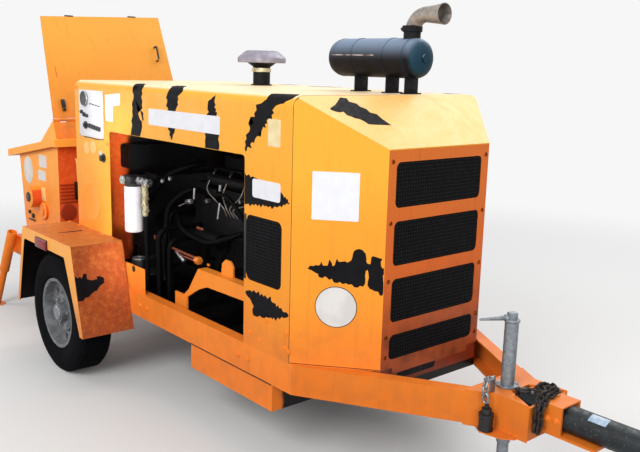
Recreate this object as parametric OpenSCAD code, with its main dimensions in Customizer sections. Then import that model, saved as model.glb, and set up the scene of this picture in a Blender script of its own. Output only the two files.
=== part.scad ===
// Trailer-mounted concrete line pump, standing on its wheels, front jack and rear legs.
// Axes: +X is forward to the hitch eye, +Y is the left side, +Z is up, Z = 0 is the ground.
// The origin lies on the ground at the middle of the machine's box.

/* [Enclosure] */
// Half width of the engine enclosure
enc_hw = 585; // [500:1:650]
// Back face of the enclosure
enc_rear = -1184; // [-1250:1:-1150]
// Seam between the straight sides and the nose
nose_seam = 941; // [900:1:965]
// Front face of the nose
nose_front = 1248; // [1180:1:1300]
// Half width of the nose's front face
nose_hw = 326; // [300:1:340]
// Height of the roof
roof_z = 1704; // [1640:1:1800]
// Height of the nose's front face at its top
nose_top_z = 1499; // [1470:1:1540]
// Radius of the bend along the roof's sides
roof_r = 50; // [30:1:70]
// Thickness of the enclosure's sheets
sheet_t = 4; // [3:0.5:6]
// Width of the rear post, behind the side opening
post_rear = 445; // [400:1:480]
// Width of the front post, between the side opening and the nose
post_front = 341; // [320:1:380]
// Top edge of the side opening
open_top = 1426; // [1380:1:1460]
// Margin behind the mesh window
win_gap_rear = 16; // [12:1:30]
// Margin before the mesh window
win_gap_front = 64; // [50:1:80]
// Lower edge of the mesh window
win_low = 857; // [830:1:880]
// Upper edge of the mesh window
win_high = 1161; // [1120:1:1190]
// Corner radius of windows and slots
corner_r = 32; // [15:1:45]

/* [Nose grille] */
// Half width of a nose slot
slot_hw = 279; // [250:1:290]
// Top of the highest nose slot
slot_top = 1444; // [1430:1:1450]
// Height of a full nose slot
slot_h = 193; // [170:1:205]
// Step from one nose slot to the next
slot_step = 250; // [240:1:255]
// Height of the lowest nose slot
slot_last_h = 112; // [90:1:120]

/* [Frame] */
// Bottom of the frame rails
rail_low = 405; // [390:1:420]
// Height of the frame rails
rail_h = 138; // [130:1:150]
// Width of the rail flanges
rail_w = 60; // [45:1:75]
// Thickness of the rail's web and flanges
rail_t = 8; // [5:1:10]
// Back end of the rails
rail_rear = -2330; // [-2345:1:-2300]
// Bend from the rails to the drawbar arms
bend_x = 960; // [945:1:990]
// Angle of the drawbar arms
arm_deg = 31; // [29:0.5:33]
// Front end of the drawbar head
head_front = 1872; // [1850:1:1885]
// Half width of the drawbar head
head_hw = 131; // [120:1:140]
// Back edge of the head's top plate
head_rear = 1604; // [1580:1:1630]

/* [Drawbar] */
// Outer diameter of the drawbar pipe
bar_d = 108; // [95:1:115]
// Height of the drawbar's centre
bar_z = 501; // [495:1:510]
// Front end of the drawbar pipe
bar_front = 2330; // [2300:1:2340]
// Bore of the hitch eye
eye_bore = 76; // [70:1:80]
// Outer diameter of the hitch eye
eye_d = 140; // [130:1:145]
// Front point of the hitch eye
eye_front = 2500; // [2480:1:2510]

/* [Wheels] */
// Diameter of the tyres
tyre_d = 710; // [690:1:720]
// Width of the tyres
tyre_w = 205; // [190:1:210]
// Distance of the tyres' middle from the centre line
track_half = 775; // [770:1:780]
// Place of the axle along the machine
axle_x = -900; // [-915:1:-890]
// Diameter of the rim flanges
rim_d = 416; // [400:1:420]

/* [Fenders] */
// Outer face of the fenders
fend_y = 896; // [890:1:905]
// Height of the fenders' top
fend_top = 812; // [805:1:840]
// Back end of the fenders' flat top
fend_rear = -1307; // [-1330:1:-1295]
// Front end of the fenders' flat top
fend_front = -605; // [-620:1:-590]
// Lower edge of the fenders' ends
fend_low = 315; // [300:1:340]

/* [Hopper] */
// Half width of the hopper box
hop_hw = 500; // [480:1:510]
// Front wall of the hopper
hop_front = -1680; // [-1700:1:-1660]
// Height of the rim's front end
rim_z = 1300; // [1285:1:1310]
// Top of the hopper's back wall
back_top = -2380; // [-2395:1:-2360]
// Back end of the rim
rim_rear = -2500; // [-2510:1:-2480]
// Height of the rim's back end
rim_rear_z = 1157; // [1140:1:1170]
// Bottom of the hopper
hop_low = 400; // [392:1:404]
// Wall of the hopper
hop_t = 6; // [4:0.5:8]
// Height of the splash guard's hinge
hinge_z = 1411; // [1400:1:1430]
// Length of the splash guard
guard_len = 779; // [750:1:790]
// Angle at which the raised guard leans back
lean_deg = 21; // [19:0.5:23]

/* [Pump] */
// Height of the pumping cylinders' axes
pump_z = 529; // [525:1:533]
// Distance of each pumping cylinder from the centre line
pump_y = 95; // [90:1:98]
// Outer diameter of the concrete cylinders
pump_d = 170; // [155:1:175]
// Height of the outlet and the swing valve's axis
outlet_z = 610; // [606:1:616]
// Outer diameter of the outlet pipe
outlet_d = 140; // [130:1:142]
// Wall of the outlet pipe
outlet_t = 8; // [6:1:10]

/* [Engine] */
// Width of the engine block
eng_w = 420; // [380:1:460]
// Back face of the engine block
eng_rear = -330; // [-350:1:-300]
// Front face of the engine block
eng_front = 380; // [350:1:400]
// Top of the engine block
eng_top = 1130; // [1080:1:1150]

/* [Exhaust and intake] */
// Diameter of the muffler
muf_d = 190; // [170:1:200]
// Length of the muffler
muf_len = 613; // [560:1:620]
// Distance of the muffler from the centre line
muf_y = 200; // [150:1:230]
// Height of the muffler's axis
muf_z = 1872; // [1850:1:1890]
// Diameter of the air cleaner
clean_d = 240; // [220:1:250]

/* [Supports] */
// Diameter of the jack's outer tube
jack_d = 57; // [50:1:60]
// Place of the jack along the machine
jack_x = 1688; // [1680:1:1695]
// Distance of the jack to the right of the centre line
jack_y = 25; // [10:1:35]
// Top of the jack's tube
jack_top = 827; // [810:1:850]

/* [Hidden] */
$fn = 48;

orange = "#f08a1c";
dark = "#1c1d20";
steel = "#9aa0a4";
rust = "#4a3a34";
e = 0.3;

rail_top = rail_low + rail_h;
roof_low = roof_z - roof_r;
slope = (roof_z - nose_top_z) / (nose_front - nose_seam);
slope_t = sheet_t * sqrt(1 + slope * slope);
water_h = 95;
// Paths of the chains: one heaped on the head and hanging in front of it, one down to the plug
heap_chain = [[-62, -70, 71], [-36.9, -51.8, 73], [-9.3, -38.1, 71.2], [8, -12.7, 72.8],
    [-10, 12.5, 71], [-38.5, 24.2, 72.9], [-33.4, 54.6, 73], [-4.2, 63.7, 76], [21.3, 46.6, 79],
    [34.1, 20.6, 88.5], [28, -9, 83], [32.1, -39.4, 82.5], [32.6, -70.2, 81.5], [39, -96.4, 66.3],
    [42.8, -109.2, 38.5], [43.7, -107.5, 7.6], [41.4, -105.4, -22.9], [38.8, -102.8, -53.4]];
plug_chain = [[0, 13, 60], [0.1, -17.8, 59.6], [4.2, -33.4, 33.6], [8.3, -32.9, 3], [12.2, -30.9, -27.5]];
open_rear = enc_rear + post_rear;
open_front = nose_seam - post_front;
// Hoses: place along and across the machine, foot above the rails' bottom, top, diameter, run inwards
hose_table = [[-470, 85 - enc_hw, 0, 1145, 26, 0], [-382, -475, 45, 900, 30, 435 - eng_w / 2],
    [-352, -425, 45, 840, 30, 385 - eng_w / 2], [-560, -300, 0, 960, 34, 149.5]];
win_rear = open_front + win_gap_rear;
win_front = nose_seam - win_gap_front;

// Flat plate in the XZ plane, from y0 towards +Y
module plate_xz(pts, y0, t) {
    translate([0, y0 + t, 0]) rotate([90, 0, 0]) linear_extrude(t) polygon(pts);
}

// Flat plate in the YZ plane, from x0 towards +X
module plate_yz(pts, x0, t) {
    translate([x0, 0, 0]) rotate([90, 0, 90]) linear_extrude(t) polygon(pts);
}

module bar_x(d, x0, x1) {
    translate([x0, 0, 0]) rotate([0, 90, 0]) cylinder(d = d, h = x1 - x0);
}

module bar_y(d, y0, y1) {
    translate([0, y1, 0]) rotate([90, 0, 0]) cylinder(d = d, h = y1 - y0);
}

// Box given by its lowest and highest corners
module block(a, b) {
    translate(a) cube(b - a);
}

// Rectangle with round corners, given by its lowest and highest corners
module round_rect(a, b, r) {
    translate([a[0] + r, a[1]]) square([b[0] - a[0] - 2 * r, b[1] - a[1]]);
    translate([a[0], a[1] + r]) square([b[0] - a[0], b[1] - a[1] - 2 * r]);
    for (x = [a[0] + r, b[0] - r], y = [a[1] + r, b[1] - r]) translate([x, y]) circle(r);
}

module left_of(right_side) {
    if (right_side) children();
    else mirror([0, 1, 0]) children();
}

// Channel section with its web outside, open towards +Y
module channel(len) {
    difference() {
        cube([len, rail_w, rail_h]);
        translate([-1, rail_t, rail_t]) cube([len + 2, rail_w, rail_h - 2 * rail_t]);
    }
}

module frame_rail() {
    color(orange) translate([rail_rear, -enc_hw, rail_low]) channel(bend_x - rail_rear);
}

arm_y0 = -enc_hw - 1;
arm_len = (head_hw - enc_hw) / -sin(arm_deg);
head_bend = bend_x + arm_len * cos(arm_deg);

module tongue_arm() {
    color(orange) difference() {
        translate([bend_x, -enc_hw, rail_low]) rotate(arm_deg) translate([-60, 0, 0])
            channel(arm_len + 60);
        block([bend_x - 200, -enc_hw - 200, rail_low - 1], [bend_x, 0, rail_top + 1]);
        block([head_bend, -enc_hw, rail_low - 1], [head_bend + 300, 0, rail_top + 1]);
    }
}

// Crossmembers between the rails: back face and height of each
cross_table = [[rail_rear, 110], [-1560, pump_z - pump_d / 2 - e - rail_low],
    [-1060, pump_z - water_h - rail_low], [-400, 45], [-20, pump_z - 45 - e - rail_low], [640, rail_h]];
module crossmembers() {
    color(orange) for (c = cross_table)
        block([c[0], -enc_hw + rail_w, rail_low], [c[0] + 60, enc_hw - rail_w, rail_low + c[1]]);
    color(orange) nose_crossmember();
}

// Drip tray under the engine
module floor_pan() {
    hw = enc_hw - rail_w - 2;
    color(dark) block([axle_x + 190, -hw, rail_low - 3], [125, hw, rail_low]);
}

// Plate with a long slot, across the arms under the nose
module nose_crossmember() {
    x0 = nose_front - 40;
    hw = arm_out(x0 + 6) - rail_w / cos(arm_deg);
    color(orange) translate([x0, 0, 0]) rotate([90, 0, 90]) linear_extrude(6) difference() {
        translate([-hw, rail_low]) square([2 * hw, rail_h]);
        round_rect([-178, rail_low + 79], [66, rail_low + 115], 17);
    }
}

module tongue_head() {
    inner = 60;
    top_pts = [[head_rear, -arm_out(head_rear)], [head_bend, -head_hw], [head_front, -head_hw],
        [bar_rear - 5, -inner], [bar_rear - 5, inner], [head_front, head_hw],
        [head_bend, head_hw], [head_rear, arm_out(head_rear)]];
    color(orange) difference() {
        union() {
            translate([0, 0, rail_top]) linear_extrude(rail_t) polygon(top_pts);
            translate([0, 0, rail_low - rail_t]) linear_extrude(rail_t) polygon(top_pts);
            for (s = [0, 1]) mirror([0, s, 0])
                block([head_bend, -head_hw, rail_low], [head_front, -head_hw + rail_t, rail_top]);
            for (x = [bar_rear + 5, head_front - 12])
                block([x, -head_hw, rail_low], [x + 12, head_hw, rail_top]);
        }
        translate([jack_x, -jack_y, rail_low - 50]) cylinder(d = jack_d + 2 * e, h = rail_h + 100);
        translate([0, 0, bar_z]) bar_x(bar_d + 2 * e, bar_rear, head_front + 1);
    }
}

bar_rear = 1740;

function arm_out(x) = enc_hw - (x - bend_x) * tan(arm_deg);
function head_side(x) = max(head_hw, arm_out(x));

module drawbar_tray() {
    tray_z = bar_z - bar_d / 2 - e;
    color(orange) {
        block([head_front, -66, tray_z - 10], [head_front + 250, 66, tray_z]);
        for (s = [-1, 1]) translate([head_front, s * 60, 0])
            block([19, -5, tray_z], [101, 5, bar_z + bar_d / 2 + e]);
        translate([head_front + 19, -65, bar_z + bar_d / 2 + e]) cube([82, 130, 6]);
    }
}

module drawbar() {
    color(rust) translate([0, 0, bar_z]) difference() {
        bar_x(bar_d, bar_rear, bar_front);
        bar_x(bar_d - 16, bar_rear - 1, bar_front - 20);
    }
}

module hitch_eye() {
    eye_x = eye_front - eye_d / 2;
    color(rust) translate([0, 0, bar_z]) {
        difference() {
            union() {
                translate([eye_x, 0, -22]) cylinder(d = eye_d, h = 44);
                block([bar_front, -35, -22], [eye_x - 50, 35, 22]);
            }
            translate([eye_x, 0, -30]) cylinder(d = eye_bore, h = 60);
        }
    }
}

// One link, lying along X
module link() {
    translate([0, 0, -4]) linear_extrude(8) difference() {
        round_rect([-24, -15], [24, 15], 10, $fn = 8);
        round_rect([-15, -7], [15, 7], 5, $fn = 8);
    }
}

// A row of links between each two points of a path
module chain(path) {
    for (i = [0 : len(path) - 2]) {
        v = path[i + 1] - path[i];
        translate((path[i] + path[i + 1]) / 2)
            rotate([0, -asin(v[2] / norm(v)), atan2(v[1], v[0])])
                rotate([i % 2 * 90, 0, 0]) link();
    }
}

module safety_chains() {
    color(steel) {
        translate([head_front - 25, 0, bar_z]) {
            chain(heap_chain);
            block([-80, -84, rail_top + rail_t - bar_z], [-68, -60, 82]);
        }
        translate([jack_x, -head_side(jack_x), rail_top + rail_t]) {
            block([-4, 4, 0], [6, 34, 66]);
            chain(plug_chain);
        }
    }
}

// Socket of the trailer's wiring, hanging at the head's right side
module trailer_plug() {
    color(dark) translate([jack_x + 17, -head_side(jack_x) - 29, 0]) {
        translate([0, 0, rail_low]) cylinder(d = 62, h = 72);
        translate([0, 0, rail_low + 72]) cylinder(d = 44, h = 21);
        translate([0, 0, rail_low + 93]) cylinder(d = 18, h = 16);
    }
}

module jack_tube() {
    color(steel) translate([jack_x, -jack_y, 0]) {
        difference() {
            cylinder(d = jack_d, h = jack_top);
            translate([0, 0, -1]) cylinder(d = jack_d - 8, h = jack_top - 10);
            translate([0, 0, -1]) cylinder(d = jack_d + 10, h = rail_low - 100);
        }
        translate([0, 0, rail_top + rail_t]) difference() {
            cylinder(d = 95, h = 10);
            translate([0, 0, -1]) cylinder(d = jack_d - 1, h = 12);
        }
        translate([0, 0, jack_top]) cylinder(d = 66, h = 12);
        translate([0, 0, jack_top + 12]) cylinder(d = 44, h = 28);
        rotate(-115) translate([18, 0, jack_top + 18]) rotate([90, 0, 90])
            cylinder(d1 = 26, d2 = 9, h = 128);
    }
}

module jack_leg() {
    color(steel) translate([jack_x, -jack_y, 0]) {
        cylinder(d = jack_d - 8 - 2 * e, h = 560);
        cylinder(d = 150, h = 8);
    }
}

// A rear leg leans out and back: its foot, its top and its angles
leg_foot = [-2440, -enc_hw - 115, 0];
leg_top = [-2230, -enc_hw - 55, 560];
leg_vec = leg_top - leg_foot;
leg_len = norm(leg_vec);
leg_tilt = acos(leg_vec[2] / leg_len);
leg_turn = atan2(leg_vec[1], leg_vec[0]);

module along_leg() {
    translate(leg_foot) rotate([0, leg_tilt, leg_turn]) children();
}

module rear_leg_sleeves() {
    color(orange) for (s = [0, 1]) mirror([0, s, 0]) {
        difference() {
            union() {
                along_leg() translate([0, 0, 300]) cylinder(d = 70, h = 330);
                block([-2290, -enc_hw - 55, 430], [-2240, -enc_hw, 550]);
            }
            along_leg() translate([0, 0, 200]) cylinder(d = 50 + 2 * e, h = 500);
        }
    }
}

module rear_leg() {
    color(orange) {
        difference() {
            along_leg() translate([0, 0, 5]) cylinder(d = 50, h = 560);
            translate([leg_foot[0] - 200, leg_foot[1] - 200, -100]) cube([400, 400, 106]);
        }
        translate(leg_foot) cylinder(d = 120, h = 6);
    }
}

module fuel_tank() {
    color(orange) block([127, -enc_hw + 6, 272], [818, enc_hw - 6, rail_low]);
}

module axle() {
    ax = axle_x + 150;
    color(dark) {
        block([ax - 38, -640, rail_low - 76], [ax + 38, 640, rail_low]);
        for (s = [0, 1]) mirror([0, s, 0]) {
            block([axle_x - 35, -665, tyre_d / 2 - 35], [ax + 38, -640, tyre_d / 2 + 35]);
            translate([axle_x, 0, tyre_d / 2]) bar_y(50, -790, -665);
        }
    }
}

module rim() {
    translate([axle_x, -track_half, tyre_d / 2]) color(steel) rotate([90, 0, 0]) {
        difference() {
            rotate_extrude() polygon([[190, -80], [200, -80], [200, 78], [rim_d / 2, 82], [rim_d / 2, 92],
                [190, 88], [182, 40], [120, 34], [110, 52], [60, 52], [60, 44], [104, 44], [112, 26], [182, 30]]);
            for (a = [0 : 45 : 359]) rotate(a) translate([152, 0, 0]) cylinder(d = 34, h = 80);
        }
        difference() {
            translate([0, 0, -60]) cylinder(d = 118, h = 145);
            translate([0, 0, -61]) cylinder(d = 50 + 2 * e, h = 80);
        }
    }
}

module tyre() {
    r = tyre_d / 2;
    w = tyre_w / 2;
    translate([axle_x, -track_half, r]) color(dark) rotate([90, 0, 0]) rotate_extrude()
        polygon([[200 + e, -74], [200 + e, 74], [rim_d / 2 + 2, 78], [rim_d / 2 + 8, w - 6], [280, w],
            [r - 30, w - 8], [r - 6, w - 28], [r, w - 60], [r, 60 - w], [r - 6, 28 - w], [r - 30, 8 - w],
            [280, -w], [rim_d / 2 + 8, 6 - w], [rim_d / 2 + 2, -78]]);
}

fend_pts = [[fend_rear - 133, fend_low], [fend_rear, fend_top], [fend_front, fend_top],
    [fend_front + 123, fend_low]];
arch_pts = [[fend_rear - 101, fend_low - 1], [fend_rear + 16, fend_top - 84], [fend_rear + 29, fend_top - 72],
    [fend_front - 93, fend_top - 77], [fend_front + 84, fend_low - 1]];

module fender() {
    t = 4;
    color(orange) difference() {
        plate_xz(fend_pts, -fend_y, fend_y - enc_hw);
        plate_xz([[fend_pts[0][0] + t, fend_low - 1], [fend_pts[1][0] + t, fend_top - t],
            [fend_pts[2][0] - t, fend_top - t], [fend_pts[3][0] - t, fend_low - 1]], -fend_y + t, fend_y);
        plate_xz(arch_pts, -fend_y - 1, 10);
    }
}

// Space under the enclosure's rounded outline, between two planes across the machine
module roof_space(x0, x1, inset) {
    translate([x0, 0, 0]) rotate([90, 0, 90]) linear_extrude(x1 - x0) {
        round_rect([-enc_hw + inset, rail_top - 100], [enc_hw - inset, roof_z - inset], roof_r - inset);
    }
}

module side_panel() {
    n = [[0, 1], [-sin(nose_deg), cos(nose_deg)]];
    m = 1 + n[0] * n[1];
    q = [nose_seam, -enc_hw] + sheet_t * (n[0] + n[1]) / m;
    color(orange) difference() {
        translate([0, 0, rail_top]) linear_extrude(roof_low - rail_top)
            polygon([[enc_rear, -enc_hw], [nose_seam, -enc_hw], q, [enc_rear, -enc_hw + sheet_t]]);
        translate([0, -enc_hw + 20, 0]) rotate([90, 0, 0]) linear_extrude(40) {
            round_rect([open_rear, rail_top - 60], [open_front, open_top], 20);
            round_rect([win_rear, win_low], [win_front, win_high], corner_r);
        }
    }
}

module roof_panel() {
    color(orange) intersection() {
        difference() {
            roof_space(enc_rear, nose_seam, 0);
            roof_space(enc_rear - 1, nose_seam + 1, sheet_t);
        }
        block([enc_rear - 1, -enc_hw - 1, roof_low], [nose_seam + 1, enc_hw + 1, roof_z + 1]);
    }
}

nose_deg = atan2(enc_hw - nose_hw, nose_front - nose_seam);

// Space under the sloping top of the nose, lowered by drop
module slope_space(drop) {
    plate_xz([[nose_seam, rail_low], [nose_front + 1, rail_low],
        [nose_front + 1, nose_top_z - slope - drop], [nose_seam, roof_z - drop]], -enc_hw - 1, 2 * enc_hw + 2);
}

module nose_side() {
    n0 = [0, 1];
    n1 = [-sin(nose_deg), cos(nose_deg)];
    n2 = [-1, 0];
    a = [nose_seam, -enc_hw];
    b = [nose_front, -nose_hw];
    ai = a + sheet_t * (n0 + n1) / (1 + n0 * n1);
    bi = b + sheet_t * (n1 + n2) / (1 + n1 * n2);
    color(orange) intersection() {
        translate([0, 0, rail_top]) linear_extrude(roof_z - rail_top) polygon([a, b, bi, ai]);
        slope_space(slope_t);
        roof_space(nose_seam - 10, nose_front + 1, 0);
    }
}

module nose_top() {
    color(orange) intersection() {
        difference() {
            slope_space(0);
            translate([0, 0, 0]) slope_space(slope_t);
        }
        translate([0, 0, rail_low]) linear_extrude(roof_z)
            polygon([[nose_seam, -enc_hw], [nose_front, -nose_hw],
                [nose_front, nose_hw], [nose_seam, enc_hw]]);
        roof_space(nose_seam, nose_front + 1, 0);
    }
}

module nose_slots(grow) {
    for (i = [0 : 3]) {
        h = i < 3 ? slot_h : slot_last_h;
        top = slot_top - i * slot_step;
        round_rect([-slot_hw - grow, top - h - grow], [slot_hw + grow, top + grow], corner_r - 6);
    }
}

module nose_face() {
    n1 = [-sin(nose_deg), cos(nose_deg)];
    n2 = [-1, 0];
    bi = [nose_front, -nose_hw] + sheet_t * (n1 + n2) / (1 + n1 * n2);
    color(orange) intersection() {
        difference() {
            translate([0, 0, rail_top - 30]) linear_extrude(roof_z)
                polygon([[nose_front, -nose_hw], [nose_front, nose_hw], [bi[0], -bi[1]], bi]);
            translate([nose_front - 20, 0, 0]) rotate([90, 0, 90]) linear_extrude(40) nose_slots(0);
            for (s = [0, 1]) mirror([0, s, 0]) nose_feet();
        }
        slope_space(slope_t);
    }
}

module lamps() {
    color("#8c1d14") for (s = [0, 1]) mirror([0, s, 0]) {
        translate([axle_x - 108, -fend_y, fend_top - 54]) rotate([90, 0, 0]) linear_extrude(14)
            round_rect([-83, -32], [83, 32], 26);
        block([rail_rear - 30, -enc_hw + 5, rail_low + 60], [rail_rear, -enc_hw + 135, rail_low + 120]);
    }
}

// Where the arms pass below the corners of the nose's face
module nose_feet() {
    block([nose_front - 50, -enc_hw, rail_top - 100], [nose_front + 50, -250, rail_top]);
}

module grille_mesh() {
    color(dark) block([nose_front - sheet_t - 2, -slot_hw - 12, rail_top],
        [nose_front - sheet_t, slot_hw + 12, slot_top + 12]);
}

module side_mesh() {
    color(dark) for (s = [0, 1]) mirror([0, s, 0])
        block([open_front + 2, -enc_hw + sheet_t, win_low - 15],
            [win_front + 15, -enc_hw + sheet_t + 2, win_high + 15]);
}

module rear_bulkhead() {
    color(orange) intersection() {
        difference() {
            block([enc_rear, -enc_hw, rail_top], [enc_rear + sheet_t, enc_hw, roof_z]);
            block([enc_rear - 5, -200, rail_top - 1], [enc_rear + 10, 200, 640]);
        }
        roof_space(enc_rear - 1, enc_rear + 10, sheet_t);
    }
}

// Box of the pump's controls, on the bulkhead
module valve_box() {
    color(dark) translate([enc_rear + sheet_t, 0, 0]) rotate([90, 0, 90]) linear_extrude(120)
        round_rect([-293, 1152], [293, 1305], 20);
}

module control_panel() {
    color("#e8e6e0") {
        block([-1111, -enc_hw - 8, 1373], [-800, -enc_hw, 1650]);
        for (p = [[-1000, 1570], [-1000, 1450], [-880, 1450]])
            translate([p[0], 0, p[1]]) bar_y(44, -enc_hw - 22, -enc_hw - 8);
    }
}

module engine_block() {
    w = eng_w / 2;
    color(dark) {
        block([eng_rear, -w + 40, 760], [eng_front, w - 40, eng_top]);
        block([eng_rear, -w, 880], [eng_front - 60, -w + 40, eng_top - 60]);
        block([eng_rear - 120, -w + 20, 770], [eng_rear, w - 20, eng_top + 20]);
        translate([0, -w - 30, 850]) bar_x(92, eng_rear, eng_rear + 230);
        translate([0, -w - 45, 1090]) bar_x(140, eng_front - 150, eng_front - 20);
        block([eng_front - 110, -w - 45, 1000], [eng_front - 60, -w + 41, 1030]);
        translate([0, 0, 860]) bar_x(190, eng_front, eng_front + 40);
    }
}

module engine_head() {
    color(dark) {
        block([eng_rear + 20, -130, eng_top + 20], [eng_front - 20, 130, eng_top + 110]);
        block([eng_rear + 20, -130, eng_top], [eng_front - 20, 130, eng_top + 20]);
        block([eng_rear + 40, -90, eng_top + 110], [eng_front - 40, 90, eng_top + 170]);
        for (i = [0 : 3]) translate([eng_rear + 100 + i * 160, 0, eng_top + 55]) bar_y(46, -200, -130);
        translate([0, -195, eng_top + 55]) bar_x(60, eng_rear + 60, eng_front - 60);
        translate([180, -195, eng_top + 55]) cylinder(d = 62, h = 180);
        translate([180, -195, eng_top + 200]) bar_y(60, 0, 120);
    }
}

module oil_pan() {
    color(dark) block([eng_rear + 30, -150, 625], [eng_front - 60, 150, 760]);
}

module radiator() {
    color(dark) difference() {
        block([620, -330, rail_top], [720, 330, 1380]);
        translate([0, 0, 1030]) bar_x(560, 600, 680);
    }
}

module fan() {
    color(dark) translate([0, 0, 1030]) {
        bar_x(120, 570, 670);
        bar_x(50, eng_front + e, 571);
        for (i = [0 : 5]) rotate([i * 60, 0, 0]) translate([620, 0, 50]) rotate(25) translate([-4, -35, 0])
            cube([8, 70, 200]);
    }
}

module muffler() {
    x0 = nose_seam - muf_len;
    r = muf_d / 2;
    riser = nose_seam - 90;
    color(dark) {
        translate([0, muf_y, muf_z]) {
            translate([x0, 0, 0]) rotate([0, 90, 0]) rotate_extrude()
                polygon([[0, 0], [r * 0.6, 8], [r * 0.9, 30], [r, 60], [r, muf_len - 60],
                    [r * 0.9, muf_len - 30], [r * 0.6, muf_len - 8], [0, muf_len]]);
            bar_x(40, nose_seam - 20, nose_seam + 6);
            translate([riser, 0, r - 14]) cylinder(d = 72, h = 34);
            translate([riser, 0, r + 2]) cylinder(d = 92, h = 18);
            translate([riser + 85, 0, r + 20]) rotate([90, 0, 0]) rotate(90)
                rotate_extrude(angle = 90) translate([85, 0]) circle(d = 72);
            translate([riser + 85, 0, r + 105]) rotate([0, 90, 0]) difference() {
                cylinder(d1 = 72, d2 = 96, h = 110);
                translate([0, 0, 15]) cylinder(d1 = 60, d2 = 90, h = 100);
            }
        }
        for (x = [riser - 338, riser - 117, riser + 9]) {
            block([x - 20, muf_y - 55, roof_z], [x + 20, muf_y + 55, roof_z + 6]);
            block([x - 4, muf_y - 45, roof_z], [x + 4, muf_y + 45, muf_z - r + 18]);
        }
    }
}

module rain_cap() {
    color(steel) translate([-340, muf_y, roof_z]) {
        cylinder(d = 100, h = 130);
        translate([0, 0, 78]) cylinder(d = 112, h = 22);
        translate([0, 0, 130]) cylinder(d = 283, h = 24);
        translate([0, 0, 154]) cylinder(d1 = 283, d2 = 150, h = 46);
    }
}

// Air cleaner under the roof, with its pipe up to the rain cap and down to the engine
module air_cleaner() {
    z = roof_z - 300;
    color(dark) translate([0, muf_y, 0]) {
        translate([0, 0, z]) bar_x(clean_d, -640, -60);
        translate([0, 0, z]) bar_x(clean_d + 16, -480, -440);
        translate([-340, 0, z]) cylinder(d = 90, h = 300 - sheet_t);
        translate([0, 0, z]) bar_x(80, -61, 60);
        translate([60, 0, eng_top + 60]) cylinder(d = 80, h = z - eng_top - 20);
        translate([60, 0, eng_top + 75]) bar_y(80, -70, 0);
    }
}

module oil_filter() {
    color("#e6e6e2") translate([open_rear + 119, -enc_hw + 85, 0]) {
        translate([0, 0, 855]) cylinder(d = 104, h = 266);
        translate([0, 0, 1121]) cylinder(d = 96, h = 14);
        block([-60, -46, 1135], [52, 50, 1180]);
        translate([-60, 0, 1158]) rotate([0, -90, 0]) cylinder(d = 40, h = 24);
        block([-180, sheet_t - 85, 1125], [-84, -60, 1190]);
        block([-90, -70, 1135], [-60, 50, 1180]);
        translate([0, 0, 1160]) bar_x(30, 52, 200);
        translate([90, 0, 860]) cylinder(d = 26, h = 300);
    }
}

// A hose that stands on the floor pan and bends over towards the machine's middle
module hose(x, y, low, top, d, run) {
    bend = run > 0 ? 60 : 0;
    translate([x, y, low]) cylinder(d = d, h = top - bend - low);
    if (run > 0) {
        translate([x, y + bend, top - bend]) rotate([90, 0, 90]) rotate(90)
            rotate_extrude(angle = 90) translate([bend, 0]) circle(d = d);
        translate([x, 0, top]) bar_y(d, y + bend, y + bend + run);
    }
}

module hoses() {
    color(dark) for (h = hose_table) hose(h[0], h[1], rail_low + h[2], h[3], h[4], h[5]);
}

module engine_mounts() {
    y0 = -enc_hw + 95;
    foot = rail_top + 36;
    color(orange) for (s = [0, 1]) mirror([0, s, 0]) {
        plate_xz([[-180, rail_low], [-60, rail_low], [-60, foot + 10], [60, 660], [140, 690], [580, 698],
            [600, rail_low], [640, rail_low], [640, 770], [54, 770], [-40, foot + 60], [-90, foot + 18], [-180, foot + 18]], y0, 10);
        block([54, y0 + 10, 762], [640, y0 + 55, 770]);
        plate_xz([[205, 770], [305, 770], [310, 820], [285, 850], [240, 850], [210, 825]], y0 + 45, 10);
        block([205, y0 + 55, 770], [305, -eng_w / 2 + 40, 782]);
        block([-450, -eng_w / 2 + 20, rail_low + 45], [-340, -160, 770]);
    }
}

module hydraulic_pump() {
    color(dark) {
        translate([0, 0, 960]) bar_x(300, eng_rear - 160, eng_rear - 120);
        translate([0, 0, 960]) bar_x(180, eng_rear - 420, eng_rear - 160);
    }
}

module hydraulic_tank() {
    color(dark) {
        low = rail_top + 36;
        block([enc_rear + 289, -335, low], [open_rear - 31, enc_hw - 135, 1140]);
        block([enc_rear + 289, -enc_hw + 30, low], [open_rear - 31, enc_hw - 30, low + 10]);
        for (y = [-enc_hw + 30, enc_hw - 55]) block([enc_rear + 289, y, rail_top], [open_rear - 31, y + 25, low]);
    }
}

module drive_cylinders() {
    color(dark) for (s = [-1, 1]) translate([0, s * pump_y, pump_z]) bar_x(90, -900, 60);
}

module water_box() {
    color(orange) block([-1160, -200, pump_z - water_h], [-900, 200, rail_top + 60]);
}

module concrete_cylinders() {
    color(orange) for (s = [-1, 1]) translate([0, s * pump_y, pump_z]) difference() {
        bar_x(pump_d, hop_front, -1160);
        bar_x(pump_d - 20, hop_front - 1, -1161);
    }
}

hop_c = [hop_front - 320, 720];
hop_r = 320;

module hopper_side(grow) {
    difference() {
        polygon([[hop_front - grow, hop_low + grow], [hop_c[0] - hop_r + grow, hop_low + grow],
            [hop_c[0] - hop_r + grow, hop_c[1]], [back_top + grow, rim_at(back_top)],
            [hop_front - grow, rim_z]]);
        difference() {
            translate([hop_c[0] - hop_r - 10, hop_low - 10]) square([hop_r + 10, hop_r + 10]);
            translate(hop_c) circle(hop_r - grow, $fn = 96);
        }
    }
}

// Height of the sloping rim at a place along the machine
function rim_at(x) = rim_z + (x - hop_front) * (rim_z - rim_rear_z) / (hop_front - rim_rear);

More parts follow.
